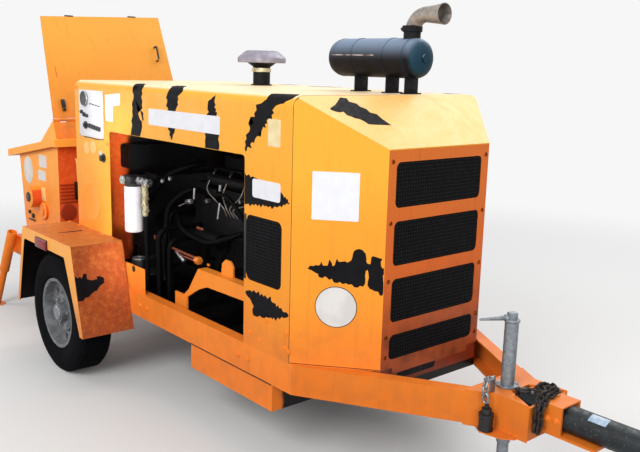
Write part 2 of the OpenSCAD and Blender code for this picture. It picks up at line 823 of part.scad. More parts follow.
module hopper() {
    color(orange) difference() {
        union() {
            translate([0, hop_hw, 0]) rotate([90, 0, 0]) linear_extrude(2 * hop_hw) hopper_side(0);
            plate_xz([[hop_front + 50, rim_z - 50], [hop_front, rim_z - 50], [rim_rear, rim_rear_z - 50],
                [rim_rear, rim_rear_z], [hop_front, rim_z], [hop_front + 50, rim_z]],
                -hop_hw - 40, 2 * hop_hw + 80);
            for (y = [-hop_hw - hop_t, hop_hw])
                plate_xz([[hop_front, rim_z], [cheek_rear, rim_at(cheek_rear)], hinge_pt,
                    [hinge_pt[0] + 8, hinge_z], [apron_x + 8, rim_z]], y, hop_t);
            for (x = [-1780, -2240], s = [-1, 1]) translate([0, s * (hop_hw + 32), 0])
                block([x, -32, rail_top], [x + 80, 32, rail_top + 10]);
            translate([0, 0, outlet_z]) bar_x(outlet_d + 40, -2325, -2250);
        }
        translate([0, hop_hw - hop_t, 0]) rotate([90, 0, 0])
            linear_extrude(2 * (hop_hw - hop_t)) hopper_side(hop_t);
        plate_xz([[hop_front - hop_t, rim_z - 70], [back_top + hop_t, rim_z - 180],
            [back_top + hop_t, rim_z + 10], [hop_front - hop_t, rim_z + 10]],
            -hop_hw + hop_t, 2 * (hop_hw - hop_t));
        for (y = [-pump_y, pump_y]) translate([0, y, pump_z])
            bar_x(pump_d - 20, hop_front - 20, hop_front + 20);
        translate([0, 0, outlet_z]) bar_x(outlet_d + 2 * e, -2400, -2200);
        translate([agit_x, 0, agit_z]) bar_y(60 + 2 * e, -hop_hw - 20, hop_hw + 20);
    }
}

apron_x = hop_front - 18;
cheek_rear = hop_front - 280;
hinge_pt = [apron_x - (hinge_z - rim_z) * tan(lean_deg), hinge_z];
agit_x = -2050;
agit_z = 860;

// The guard's hinge: knuckles along the pin, alternately on the apron and on the guard
knuckle_d = 20;
hinge_pin = 10;
knuckle_y = hop_hw * [-0.88, -0.3, 0.3, 0.88];
axis_z = hinge_z + knuckle_d / 2;

module knuckles(len, shift) {
    for (y = knuckle_y) translate([0, y + shift, 0]) bar_y(knuckle_d, -len / 2, len / 2);
}

module hopper_apron() {
    t = 8;
    top = [apron_x - (hinge_z - 5 - rim_z) * tan(lean_deg), hinge_z - 5];
    // The tube's pieces, between the knuckles of the guard
    starts = [3 - hop_hw, for (y = knuckle_y) y + 32];
    ends = [for (y = knuckle_y) y - 12, hop_hw - 3];
    color(orange) {
        plate_xz([[apron_x, rim_z], top, top + [t, 0], [apron_x + t, rim_z + 6],
            [hop_front + 20, rim_z + 6], [hop_front + 20, rim_z]], -hop_hw + 0.5, 2 * hop_hw - 1);
        translate([hinge_pt[0], 0, axis_z]) {
            bar_y(hinge_pin, starts[0] + 10, ends[4] - 10);
            for (i = [0 : 4]) {
                bar_y(knuckle_d, starts[i], ends[i]);
                block([1, starts[i], hinge_z - 6 - axis_z], [t + 1, ends[i], 0]);
            }
        }
    }
}

grate_rear = back_top + 10;
module hopper_grate() {
    color(orange) intersection() {
        union() {
            for (i = [-5 : 5])
                block([grate_rear, i * 85 - 5, rim_z - 255], [hop_front - hop_t, i * 85 + 5, rim_z]);
            for (i = [1 : 4]) translate([grate_rear + i * (hop_front - hop_t - grate_rear) / 5, 0, 0])
                block([-5, -hop_hw + hop_t, rim_z - 255], [5, hop_hw - hop_t, rim_z]);
        }
        plate_xz([[hop_front - hop_t, rim_z - 46], [grate_rear, rim_at(grate_rear) - 45],
            [grate_rear, rim_at(grate_rear) - 20], [hop_front - hop_t, rim_z - 21]],
            -hop_hw + hop_t, 2 * (hop_hw - hop_t));
    }
}

module splash_guard() {
    w = hop_hw - 5;
    // The top edge falls towards the right side
    drop = 43;
    color(orange) translate([hinge_pt[0], 0, axis_z]) rotate([0, -lean_deg, 0]) difference() {
        union() {
            rotate([90, 0, 90]) linear_extrude(5)
                polygon([[-w, 12], [w, 12], [w - 34, guard_len], [42 - w, guard_len - drop]]);
            knuckles(40, 10);
            for (y = knuckle_y) block([0, y - 10, 0], [5, y + 30, 20]);
            translate([5, w - 117, guard_len - 345]) {
                for (z = [0, 105]) translate([0, 0, z]) bar_x(12, -1, 34);
                translate([34, 0, -6]) cylinder(d = 12, h = 117);
            }
            block([4, 75 - w, 60], [22, 95 - w, 140]);
            for (y = [-247, 240])
                block([-1, y - 30, 600], [6, y + 30, guard_len - drop * (w - 34 - y) / (2 * w - 76) + 7]);
        }
        for (y = knuckle_y) translate([0, y, 0]) bar_y(hinge_pin + 2 * e, -50, 40);
    }
}

module swing_valve() {
    color(rust) translate([0, 0, outlet_z]) rotate([-49.4, 0, 0]) {
        bar_x(outlet_d, -2289, -2260);
        bar_x(outlet_d - 10, -2260, -2100);
        translate([0, 0, -125]) bar_x(outlet_d, -1900, hop_front - hop_t - 5);
        hull() {
            bar_x(outlet_d - 10, -2105, -2100);
            translate([0, 0, -125]) bar_x(outlet_d, -1900, -1895);
        }
    }
}

module agitator() {
    color(rust) translate([agit_x, 0, agit_z]) {
        bar_y(60, -hop_hw - 30, hop_hw + 30);
        for (y = [-400, -280, 280, 400], a = [0, 180]) rotate([0, a + (abs(y) > 300 ? 90 : 0), 0])
            block([-20, y - 8, 25], [20, y + 8, 185]);
    }
}

module agitator_motor() {
    color(dark) translate([agit_x, 0, agit_z]) for (s = [0, 1]) mirror([0, s, 0]) difference() {
        bar_y(150, -hop_hw - 70, -hop_hw);
        bar_y(60 + 2 * e, -hop_hw - 31, -hop_hw + 1);
    }
}

module outlet() {
    color(rust) translate([0, 0, outlet_z]) difference() {
        union() {
            bar_x(outlet_d, -2460, -2295);
            bar_x(outlet_d + 24, -2475, -2450);
        }
        bar_x(outlet_d - 2 * outlet_t, -2480, -2290);
    }
}

for (right_side = [true, false]) left_of(right_side) frame_rail();  // frame_rails
for (right_side = [true, false]) left_of(right_side) tongue_arm();  // tongue_arms
crossmembers();
floor_pan();
tongue_head();
drawbar_tray();
drawbar();
hitch_eye();
safety_chains();
trailer_plug();
jack_tube();
jack_leg();
rear_leg_sleeves();
left_of(true) rear_leg();  // rear_leg_right
left_of(false) rear_leg();  // rear_leg_left
fuel_tank();
axle();
left_of(true) rim();  // rim_right
left_of(false) rim();  // rim_left
left_of(true) tyre();  // tyre_right
left_of(false) tyre();  // tyre_left
for (right_side = [true, false]) left_of(right_side) fender();  // fenders
left_of(true) side_panel();  // side_panel_right
left_of(false) side_panel();  // side_panel_left
roof_panel();
for (right_side = [true, false]) left_of(right_side) nose_side();  // nose_sides
nose_top();
nose_face();
grille_mesh();
side_mesh();
rear_bulkhead();
valve_box();
control_panel();
engine_block();
engine_head();
oil_pan();
radiator();
fan();
air_cleaner();
muffler();
rain_cap();
oil_filter();
hoses();
engine_mounts();
hydraulic_pump();
hydraulic_tank();
drive_cylinders();
water_box();
concrete_cylinders();
hopper();
hopper_grate();
hopper_apron();
splash_guard();
swing_valve();
agitator();
agitator_motor();
outlet();
lamps();
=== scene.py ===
"""Looks of a towable concrete line pump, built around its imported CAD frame."""

import math
from itertools import accumulate

import bmesh
import bpy
from mathutils import Matrix, Vector


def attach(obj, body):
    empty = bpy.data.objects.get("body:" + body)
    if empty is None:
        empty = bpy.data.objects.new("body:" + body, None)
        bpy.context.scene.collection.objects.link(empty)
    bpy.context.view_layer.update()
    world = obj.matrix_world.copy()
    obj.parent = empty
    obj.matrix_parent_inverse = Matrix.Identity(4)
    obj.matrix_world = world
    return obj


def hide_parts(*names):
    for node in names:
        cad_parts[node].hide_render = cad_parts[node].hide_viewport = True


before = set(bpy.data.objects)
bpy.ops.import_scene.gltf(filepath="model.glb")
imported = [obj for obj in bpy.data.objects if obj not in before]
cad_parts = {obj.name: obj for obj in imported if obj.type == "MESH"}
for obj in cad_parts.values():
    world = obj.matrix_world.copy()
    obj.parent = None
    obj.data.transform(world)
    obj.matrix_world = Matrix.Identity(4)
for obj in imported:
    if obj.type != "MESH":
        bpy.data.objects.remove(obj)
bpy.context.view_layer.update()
MM = 0.001

# Camera: the photograph's viewpoint, in metres and degrees
CAMERA_PLACE = (3.5157, -2.6571, 1.8256)
CAMERA_YAW, CAMERA_PITCH, CAMERA_ROLL = 49.065, 11.354, 1.522
CAMERA_LENS, CAMERA_SENSOR = 44.848, 36.0
# The white that the camera sees round the machine
SURROUNDINGS = (0.93, 0.93, 0.93, 1)

# Faces of the enclosure and the fenders that carry stripes and plates, in mm
SIDE_Y, ROOF_BEND_Z, ROOF_BEND_R = 585.0, 1654.0, 50.0
SEAM_X, NOSE_X, NOSE_HALF = 941.0, 1248.0, 326.0
ROOF_Z, NOSE_TOP_Z = 1704.0, 1499.0
FENDER_FRONT, FENDER_TOP = -605.0, 812.0
FENDER_TOE, FENDER_LOW = -482.0, 315.0

# Places shared by several pieces, in mm
WHEEL_X, WHEEL_Y, WHEEL_Z = -900.0, 775.0, 355.0
MUFFLER_Y, MUFFLER_Z, MUFFLER_REAR, MUFFLER_LENGTH = 200.0, 1872.0, 328.0, 613.0
MUFFLER_R, RISER_X = 95.0, 851.0
JACK_X, JACK_Y, JACK_TOP = 1688.0, -25.0, 827.0
BAR_Z = 501.0
HINGE_X, HINGE_Z, LEAN = -1740.6, 1421.0, 21.0
RAIL_TOP, RAIL_LOW = 543.0, 405.0
FILTER_X, FILTER_Y = -620.0, -500.0
WINDOW_REAR, WINDOW_FRONT, WINDOW_LOW, WINDOW_TOP = 616, 877, 857, 1161
# Half the width of a mesh wire
WIRE = 1.1

RIGHT, FORWARD, UP = (0, -1, 0), (1, 0, 0), (0, 0, 1)
SIDES = (("right", -1), ("left", 1))


def linear(code):
    """sRGB hex to linear colour."""
    parts = [int(code[i : i + 2], 16) / 255 for i in (1, 3, 5)]
    return [c / 12.92 if c <= 0.04045 else ((c + 0.055) / 1.055) ** 2.4 for c in parts] + [1.0]


class Nodes:
    """Adds nodes to the tree of a material or of the world."""

    def __init__(self, owner):
        owner.use_nodes = True
        self.tree = owner.node_tree

    def link(self, socket, node, name):
        self.tree.links.new(socket, self.tree.nodes[node].inputs[name])

    def add(self, kind, settings=None, links=None):
        """One node: settings go to its properties or sockets, links join its sockets to others."""
        node = self.tree.nodes.new("ShaderNode" + kind)
        for key, value in (settings or {}).items():
            if isinstance(key, str) and hasattr(node, key):
                setattr(node, key, value)
            else:
                node.inputs[key].default_value = value
        for key, socket in (links or {}).items():
            self.tree.links.new(socket, node.inputs[key])
        return node

    def compute(self, operation, first, *others):
        """Result of a Math node on a socket and further values, each a float or a socket."""
        node = self.add("Math", {"operation": operation}, {0: first})
        for index, value in enumerate(others, 1):
            if isinstance(value, float):
                node.inputs[index].default_value = value
            else:
                self.tree.links.new(value, node.inputs[index])
        return node.outputs[0]

    def times(self, first, second):
        return self.compute("MULTIPLY", first, second)

    def vector(self, operation, settings, links):
        return self.add("VectorMath", {"operation": operation, **settings}, links).outputs

    def split(self, vector):
        """The X, Y and Z of a vector."""
        return self.add("SeparateXYZ", None, {0: vector}).outputs

    def band(self, value, low, high, to_low=0.0, to_high=1.0):
        """Maps low..high of a value to a smooth band."""
        limits = {"interpolation_type": "SMOOTHSTEP", 1: low, 2: high, 3: to_low, 4: to_high}
        return self.add("MapRange", limits, {0: value}).outputs[0]


class Coat(Nodes):
    def __init__(self, name, tone, shine, **shader):
        self.material = bpy.data.materials.new(name)
        super().__init__(self.material)
        self.tone = linear(tone)
        self.place = self.add("TexCoord").outputs["Object"]
        for key, value in {"Specular IOR Level": shine, **shader}.items():
            self.tree.nodes["Principled BSDF"].inputs[key].default_value = value

    def facing(self):
        """The X, Y and Z of the direction that a face looks in."""
        return self.split(self.add("TexCoord").outputs["Normal"])

    def across(self):
        """Distance from the machine's middle plane."""
        return self.compute("ABSOLUTE", self.split(self.place)["Y"])

    def noise(self, size_mm, detail=3.0, stretch=None, rough=0.5):
        """Noise whose blotches are about size_mm wide; stretch scales the pattern's axes."""
        place = self.place
        if stretch:
            place = self.add("Mapping", {"Scale": stretch}, {"Vector": place}).outputs[0]
        sizes = {"Scale": 1000.0 / size_mm, "Detail": detail, "Roughness": rough}
        return self.add("TexNoise", sizes, {"Vector": place}).outputs["Fac"]

    def tint(self, factor, colour):
        """Blends the tone, which is a plain colour at first and a socket later, with a colour."""
        settings, links = {"data_type": "RGBA", 7: linear(colour)}, {0: factor}
        (settings if isinstance(self.tone, list) else links)[6] = self.tone
        self.tone = self.add("Mix", settings, links).outputs[2]

    def finish(self, rough, relief, strength, depth_mm):
        """Applies the tone, the roughness and a bump; gives the material."""
        sizes = {"Strength": strength, "Distance": depth_mm * MM}
        bump = self.add("Bump", sizes, {"Height": relief}).outputs[0]
        for socket, name in ((self.tone, "Base Color"), (rough, "Roughness"), (bump, "Normal")):
            self.link(socket, "Principled BSDF", name)
        return self.material


def spray_enamel(
    name, sunny, base, shady, low_z, high_z, dust_and_shade, chip,
    grime_and_shade="#5b4a38", top=None, front=None, rim=1.25, blackened=None,
):
    """Alkyd enamel sprayed on steel sheet: lighter towards the top and darker low down, which is
    painted light with some sun bleaching, and dusty and chipped towards the ground, the dust on the
    nose's face being painted shade. A top colour tints level faces: painted glare on the roof and
    the nose's slope, dust and painted shade on the fenders. A front colour is painted shade on the
    leading faces below the rim's height. The last argument gives the share of black on the paint:
    undercoat, painted shade on the bulkhead and under the nose, and black in the bay."""
    coat = Coat(name, shady, 0.2)
    height = coat.split(coat.place)["Z"]
    # Painted light, with some sun bleaching: the tone gets lighter up the machine's height,
    # unevenly
    uneven = coat.compute("MULTIPLY_ADD", coat.noise(500, 4), 0.4, height)
    coat.tint(coat.band(uneven, low_z + 0.2, high_z + 0.2), base)
    coat.tint(coat.band(uneven, high_z + 0.15, high_z + 0.65), sunny)
    facing = coat.facing()
    patchy = coat.band(coat.noise(35, 6, rough=0.65), 0.25, 0.6, 0.76, 1.0)
    # Level faces: painted glare on the roof and the nose's slope, dust and painted shade on the
    # fenders
    if top:
        coat.tint(coat.times(coat.band(facing["Z"], 0.6, 0.95), patchy), top)
    # Leading faces below the rim: painted shade
    if front:
        below_rim = coat.band(height, rim, rim - 0.01)
        leading = coat.times(coat.band(facing["X"], 0.5, 0.8), below_rim)
        coat.tint(coat.times(leading, patchy), front)
    speckle = coat.band(coat.noise(9, 6, rough=0.7), 0.35, 0.75)
    coat.tint(coat.times(speckle, 0.2), shady)
    # Dust and road film in blotches of 70 mm, thicker near the ground; on the nose's face this
    # darkening is painted shade
    low_down = coat.band(height, low_z + 0.55, low_z - 0.15)
    dirt_and_shade = coat.times(coat.band(coat.noise(70, 5), 0.38, 0.72), low_down)
    coat.tint(coat.times(dirt_and_shade, dust_and_shade), grime_and_shade)
    # Rain streaks, about 30 mm apart, run down the sheets
    streak = coat.band(coat.noise(30, 3, (1, 1, 0.07)), 0.56, 0.76)
    coat.tint(coat.times(streak, 0.10), grime_and_shade)
    # Stone chips of 2 to 8 mm, brown where the steel has rusted
    chips = coat.band(coat.noise(14, 5, rough=0.65), chip, chip + 0.025)
    coat.tint(chips, "#4a2412")
    # Black share: undercoat on the fenders, painted shade on the bulkhead and under the nose, and
    # black in the bay
    if blackened:
        coat.tint(blackened(coat), "#0a0807")
    gloss = coat.band(coat.noise(55, 4), 0.3, 0.7, 0.34, 0.48)
    rough = coat.compute("MAXIMUM", gloss, coat.times(chips, 0.8))
    # Orange peel of 5 mm on sheets that wave over 260 mm
    relief = coat.compute("MULTIPLY_ADD", coat.noise(260, 2), 12.0, coat.noise(5, 2))
    return coat.finish(rough, relief, 0.18, 0.35)


def black_in_the_bay(coat):
    """Blackens the frame inboard of the rails' outer edges, from the axle to the nose."""
    along = coat.split(coat.place)["X"]
    ends = coat.times(coat.band(along, 1.0, 0.9), coat.band(along, -1.3, -1.2))
    uneven = coat.compute("MULTIPLY_ADD", coat.noise(60, 4), 0.03, coat.across())
    return coat.times(coat.band(uneven, 0.545, 0.525), ends)


def black_on_the_mounts(coat):
    """Blackens the engine's feet, but not the outer plates that hold them."""
    return coat.band(coat.across(), 0.436, 0.428)


def painted_shade_on_the_bulkhead(coat):
    """Painted shade: black covers the bulkhead's front and stops short of its right side."""
    parts = coat.split(coat.place)
    ragged = coat.compute("MULTIPLY_ADD", coat.noise(90, 5), 0.1, parts["Y"])
    on_the_front = coat.band(parts["X"], -1.1825, -1.1815)
    return coat.times(coat.band(ragged, -0.21, -0.16), on_the_front)


def black_and_painted_shade_below(coat):
    """Blackens the crossmembers in the bay; the black along the lower edge of the one under the
    nose is painted shade.
    """
    low = coat.band(coat.split(coat.place)["Z"], 0.448, 0.440)
    return coat.compute("MAXIMUM", low, black_in_the_bay(coat))


def undercoat(coat):
    """Black undercoat on the fenders' faces that look at the wheel."""
    parts, facing = coat.split(coat.place), coat.facing()
    folded = {0: parts["X"], 1: coat.across(), 2: parts["Z"]}
    folded = coat.add("CombineXYZ", None, folded).outputs[0]
    hub = (-0.9, 0.74, 0.355)
    inward = coat.vector("SUBTRACT", {0: hub}, {1: folded})[0]
    outward = coat.times(facing["Y"], coat.compute("SIGN", parts["Y"]))
    normal = {0: facing["X"], 1: outward, 2: facing["Z"]}
    normal = coat.add("CombineXYZ", None, normal).outputs[0]
    towards = coat.vector("DOT_PRODUCT", {}, {0: inward, 1: normal})["Value"]
    return coat.band(towards, 0.06, 0.08)


def plain_finish(
    name, base, other, rough, size_mm, bump=0.15, depth_mm=0.2, metal=0.0,
    wear=None, shine=0.5, top=None, front=None,
):
    """Two tones in blotches of size_mm, with a matching grain. Wear is a third tone in small spots,
    top the tone of faces that look at the sky, and front, with a top, of those that look ahead."""
    coat = Coat(name, base, shine, Metallic=metal)
    coat.tint(coat.band(coat.noise(size_mm, 5), 0.35, 0.65), other)
    if wear:
        coat.tint(coat.band(coat.noise(size_mm / 3, 6, rough=0.7), 0.60, 0.68), wear)
    if top:
        facing = coat.facing()
        coat.tint(coat.band(facing["Z"], -0.15, 1.0), top)
        if front:
            coat.tint(coat.band(facing["X"], 0.3, 0.9, 0.0, 0.8), front)
    gloss = coat.band(coat.noise(size_mm / 2, 4), 0.3, 0.7, *rough)
    return coat.finish(gloss, coat.noise(size_mm / 6, 4), bump, depth_mm)


# Sheet enamel: clean on the enclosure, dusty and chipped on frame and hopper; the change of tone
# with height is painted light, with some sun bleaching. Tones in the sun, in plain light and in
# shade, the heights in metres between which they change, then the share of dust and painted shade
# and the level above which the noise makes a chip
SHEETS = ("#f6ab36", "#f29a2e", "#ea7f2c", 0.50, 1.00)
body_enamel = spray_enamel("orange_enamel_sheets", *SHEETS, 0.2, 0.75)
# Roof and nose slope: the pale top colour on their level faces is painted glare
roof_enamel_painted_glare = spray_enamel("orange_enamel_roof_painted_glare", *SHEETS, 0.1, 0.76, top="#fbe6bc")
slope_enamel_painted_glare = spray_enamel("orange_enamel_slope_painted_glare", *SHEETS, 0.1, 0.76, top="#f0c47a")
# Nose face: a darker, redder copy of the sheet enamel, darkest low down: painted shade
face_enamel_painted_shade = spray_enamel("orange_enamel_nose_painted_shade",
    "#ee7c30", "#ea712c", "#a84f2a", 0.55, 1.00, 0.75, 0.73, "#5d3626")
frame_enamel = spray_enamel("orange_enamel_frame",
    "#fb9230", "#f7892d", "#ee7d2a", 0.35, 0.70, 0.16, 0.72, blackened=black_in_the_bay)
# Crossmembers: a darker red copy of the frame's enamel, painted shade under the nose
cross_enamel_painted_shade = spray_enamel("orange_enamel_crossmember_painted_shade",
    "#c4502a", "#b94826", "#7c3420", 0.35, 0.60, 0.5, 0.70, blackened=black_and_painted_shade_below)
tongue_enamel = spray_enamel("orange_enamel_tongue",
    "#e6852c", "#e07b28", "#d87024", 0.35, 0.70, 0.2, 0.70)
mount_enamel = spray_enamel("orange_enamel_mounts",
    "#fb9a38", "#f79032", "#ee7d2a", 0.35, 0.70, 0.1, 0.72, blackened=black_on_the_mounts)
# Fenders: the front colour on faces that look ahead is painted shade; the darker top colour is dust
# and painted shade
fender_enamel_painted_shade = spray_enamel("orange_enamel_fenders_painted_shade",
    "#ffba62", "#fdae50", "#ef9344", 0.35, 0.75, 0.25, 0.71,
    top="#c66c30", front="#9b401f", blackened=undercoat)
# Hopper: the red front colour on its leading faces is painted shade
hopper_enamel_painted_shade = spray_enamel("orange_enamel_hopper_painted_shade",
    "#fdae40", "#fba23a", "#f58c30", 0.70, 1.05, 0.12, 0.70, "#9a6a40", front="#dc4e21")
guard_enamel = spray_enamel("orange_enamel_guard",
    "#e2a03c", "#e29132", "#de7a2b", 1.30, 1.60, 0.3, 0.73)
# Bulkhead: the red front colour and the black on its front are painted shade
bulkhead_enamel_painted_shade = spray_enamel("orange_enamel_bulkhead_painted_shade",
    "#f0a035", "#ec942e", "#e4782a", 0.50, 1.00, 0.2, 0.74,
    front="#c8401b", rim=9.0, blackened=painted_shade_on_the_bulkhead)
# Ribs: a dark red copy of the orange enamel, painted shade on the hopper's front and in the bay
rib_enamel_painted_shade = spray_enamel("orange_enamel_ribs_painted_shade",
    "#b03a18", "#a33415", "#8c2c12", 0.60, 1.10, 0.4, 0.70)
# Satin vinyl of the stripes
stripe_paint = plain_finish("black_stripe_vinyl",
    "#07070a", "#0d0d11", (0.55, 0.7), 40, 0.12, shine=0.1)
# Black chassis paint, semi matt, greyed by dust
black_paint = plain_finish("black_chassis_paint",
    "#08080b", "#0e0e12", (0.55, 0.75), 50, 0.2, 0.3, shine=0.2)
# Black paint of the meshes' backing plates, which little light reaches
mesh_black = plain_finish("black_mesh_paint",
    "#040405", "#08080a", (0.6, 0.8), 30, 0.2, shine=0.08)
# Oily black paint of the engine bay
bay_black = plain_finish("oily_black_paint",
    "#050506", "#0a0a0c", (0.5, 0.7), 45, 0.3, 0.5, 0.0, "#100d0c", 0.15)
# Heat-resistant paint of the silencer, nearly black, with painted sky reflection: blue-grey on top,
# teal on the faces that look ahead
silencer_paint_painted_sheen = plain_finish("silencer_heat_paint_painted_sheen",
    "#0f0c10", "#171318", (0.35, 0.5), 60, 0.25, 0.4, 0.0, "#171213", 0.1, "#7b8ba0", "#1f4254")
# Weld seam of the silencer; its pale colour is a painted highlight
seam_highlight_metal = plain_finish("seam_painted_highlight", "#b9a7a4", "#4d4546", (0.35, 0.5), 40, 0.4, 0.4, 0.3)
# Aluminised exhaust pipe, sooted
exhaust_steel = plain_finish("aluminised_pipe",
    "#857d78", "#a1988f", (0.4, 0.6), 30, 0.3, 0.3, 0.5, "#5d5550")
# Hot-dip galvanised steel: dull, with grey spangle
zinc_steel = plain_finish("galvanised_steel",
    "#8c9196", "#757b80", (0.38, 0.6), 18, 0.15, 0.15, 0.6, "#5d5c58")
# Grey paint of the intake's rain cap
cap_paint = plain_finish("grey_cap_paint", "#938d9a", "#7e7986", (0.35, 0.55), 60)
# Silver wheel lacquer, dulled by brake dust
wheel_lacquer = plain_finish("silver_wheel_lacquer",
    "#7d7e80", "#636466", (0.4, 0.6), 40, 0.12, 0.1, 0.5, "#3a3633")
# Tyre rubber, greyed by dust on the walls
tyre_rubber = plain_finish("tyre_rubber",
    "#08090b", "#0e0e11", (0.85, 0.95), 60, 0.3, 0.4, 0.0, "#151312", 0.05)
# Nitrile rubber of the hoses
hose_rubber = plain_finish("hose_rubber",
    "#040405", "#070708", (0.5, 0.65), 30, 0.2, shine=0.06)
# Mill-scale steel of the drawbar: nearly black, rubbed bright in places
bar_steel = plain_finish("scaled_steel",
    "#0d1214", "#1b2225", (0.35, 0.65), 34, 0.6, 0.8, 0.3, "#5b6163")
# Pale blue patch on top of the drawbar: painted glare
glare_blue = plain_finish("drawbar_painted_glare",
    "#7d9bb2", "#a9b4c4", (0.3, 0.5), 18, 0.4, 0.4, wear="#2c3a42")
# Rusty steel of the safety chains
chain_steel = plain_finish("rusty_chain",
    "#1a1513", "#27201c", (0.5, 0.75), 14, 0.4, 0.3, 0.4, "#453d38")
# Zinc plating of the short chain that holds the plug
bright_chain = plain_finish("zinc_plated_chain",
    "#8f9193", "#75777a", (0.3, 0.5), 14, 0.2, metal=0.8)
# Cast iron of the engine, painted dark and oily
cast_iron = plain_finish("painted_cast_iron",
    "#070708", "#0c0c0e", (0.5, 0.7), 25, 0.5, 0.8, 0.0, "#0f0d0b", 0.15)
# Baked enamel of the filter's can
white_enamel = plain_finish("white_filter_enamel",
    "#cfccd0", "#c4c1c6", (0.25, 0.4), 60, 0.08, 0.1)
# Vinyl of the blank plates and stickers: white, grey, yellowed, and faded to the paint's colour
white_plate = plain_finish("white_vinyl", "#e4e4e8", "#dfdfe4", (0.46, 0.5), 50, 0.03, 0.1)
grey_plate = plain_finish("grey_vinyl", "#d9d5d0", "#ccc7c2", (0.35, 0.5), 90, 0.06, 0.1)
cream_plate = plain_finish("aged_vinyl", "#ecd9ae", "#e0c992", (0.4, 0.55), 60, 0.06, 0.1)
faded_plate = plain_finish("faded_vinyl", "#f3c583", "#eeb869", (0.4, 0.55), 40, 0.06, 0.1)
# Red-brown paint of the control rods, under oil
rod_paint = plain_finish("oily_rod_paint", "#8a3c1c", "#5f2815", (0.45, 0.6), 20, 0.2)
# Brass and zinc-plated steel of the fittings
brass = plain_finish("brass_fitting", "#d6ccac", "#b0a481", (0.3, 0.5), 12, 0.1, 0.1, 0.6)
bright_steel = plain_finish("zinc_plated_steel",
    "#b4b6b7", "#94979a", (0.22, 0.4), 14, 0.1, 0.1, 0.9)
# Moulded plastics: black polyamide, and the red acrylic of the lamps
black_plastic = plain_finish("black_plastic",
    "#0a0a0c", "#121214", (0.35, 0.5), 30, 0.1, 0.1, shine=0.4)
lens_red = plain_finish("red_lens", "#8a1a1e", "#741418", (0.25, 0.35), 20, 0.02, 0.1, shine=0.3)
# Fine fins of the radiator, in black paint
core_metal = plain_finish("radiator_core", "#08080a", "#0e0f11", (0.5, 0.7), 8, 0.6, 1.0, 0.3)

# Material slots of the pieces made here, worked out but not used; those in enamel or rod paint
# have the orange one
SLOTS = {
    "black_paint": (
        stripe_paint, black_paint, black_plastic, silencer_paint_painted_sheen, seam_highlight_metal, exhaust_steel
    ),
    "galvanised_steel": (
        zinc_steel, wheel_lacquer, bright_steel, brass, cap_paint, chain_steel, bright_chain
    ),
    "white_paint": (white_enamel, white_plate, grey_plate, cream_plate, faded_plate),
    "rubber_hose": (hose_rubber,),
    "cast_iron": (cast_iron,),
    "red_plastic": (lens_red,),
    "tyre": (tyre_rubber,),
    "bare_rusty_steel": (glare_blue,),
}
SLOT_OF = {material.name: slot for slot, group in SLOTS.items() for material in group}

# Finishes of the CAD nodes
for finish, nodes in (
    (body_enamel, "side_panel_right side_panel_left nose_sides"),
    (roof_enamel_painted_glare, "roof_panel"),
    (slope_enamel_painted_glare, "nose_top"),
    (face_enamel_painted_shade, "nose_face"),
    (bulkhead_enamel_painted_shade, "rear_bulkhead"),
    (rib_enamel_painted_shade, "concrete_cylinders"),
    (fender_enamel_painted_shade, "fenders"),
    (tongue_enamel, "tongue_arms tongue_head drawbar_tray"),
    (frame_enamel, "frame_rails water_box fuel_tank"),
    (frame_enamel, "rear_leg_sleeves rear_leg_right rear_leg_left"),
    (cross_enamel_painted_shade, "crossmembers"),
    (mount_enamel, "engine_mounts"),
    (hopper_enamel_painted_shade, "hopper hopper_grate agitator_motor"),
    (guard_enamel, "splash_guard hopper_apron"),
    (black_paint, "axle"),
    (mesh_black, "grille_mesh side_mesh"),
    (bay_black, "floor_pan valve_box air_cleaner hydraulic_tank hydraulic_pump"),
    (bay_black, "drive_cylinders fan"),
    (zinc_steel, "jack_leg"),
    (wheel_lacquer, "rim_right rim_left"),
    (bar_steel, "swing_valve agitator outlet hitch_eye drawbar"),
    (cast_iron, "engine_block engine_head oil_pan"),
    (core_metal, "radiator"),
    (hose_rubber, "hoses"),
):
    for node_name in nodes.split():
        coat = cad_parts[node_name].data.materials
        coat.clear()
        coat.append(finish)


def finish_piece(name, part, material, body="trailer", slot=None, replaces=(), sharp=32):
    """Turns a bmesh (in mm) into an object in metres that rides on a body. Edges that bend by more
    than sharp degrees stay sharp. The slot is worked out, the material's own unless another is
    named, but is not used."""
    bmesh.ops.scale(part, vec=(MM, MM, MM), verts=part.verts)
    # An edge of one face alone counts as bent by more than half a turn
    open_edge = 3.2
    for edge in part.edges:
        bend = edge.calc_face_angle(open_edge)
        edge.smooth = len(edge.link_faces) == 2 and bend < math.radians(sharp)
    for face in part.faces:
        face.smooth = True
    mesh = bpy.data.meshes.new(name)
    part.to_mesh(mesh)
    part.free()
    mesh.materials.append(material)
    piece = bpy.data.objects.new(name, mesh)
    bpy.context.scene.collection.objects.link(piece)
    slot = slot or SLOT_OF.get(material.name, "orange_paint")
    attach(piece, body)
    if replaces:
        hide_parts(*replaces)


def points(text):
    """Points written as numbers joined by commas; a list of points stays as it is."""
    if not isinstance(text, str):
        return text
    return [tuple(float(v) for v in point.split(",")) for point in text.split()]


def join(target, *sources):
    """Adds bmeshes to the first one and frees them."""
    for source in sources:
        temporary = bpy.data.meshes.new("part")
        source.to_mesh(temporary)
        source.free()
        target.from_mesh(temporary)
        bpy.data.meshes.remove(temporary)
    return target


def place_part(part, start, axis=UP):
    """Turns a part that was made along Z to lie along an axis from a starting point."""
    turn = Vector(UP).rotation_difference(Vector(axis).normalized()).to_matrix().to_4x4()
    bmesh.ops.transform(part, matrix=Matrix.Translation(start) @ turn, verts=part.verts)
    return part


def of_kind(geometry, kind):
    """The elements of one kind among an operator's results."""
    return [element for element in geometry if isinstance(element, kind)]


def everything(part):
    return part.verts[:] + part.edges[:] + part.faces[:]


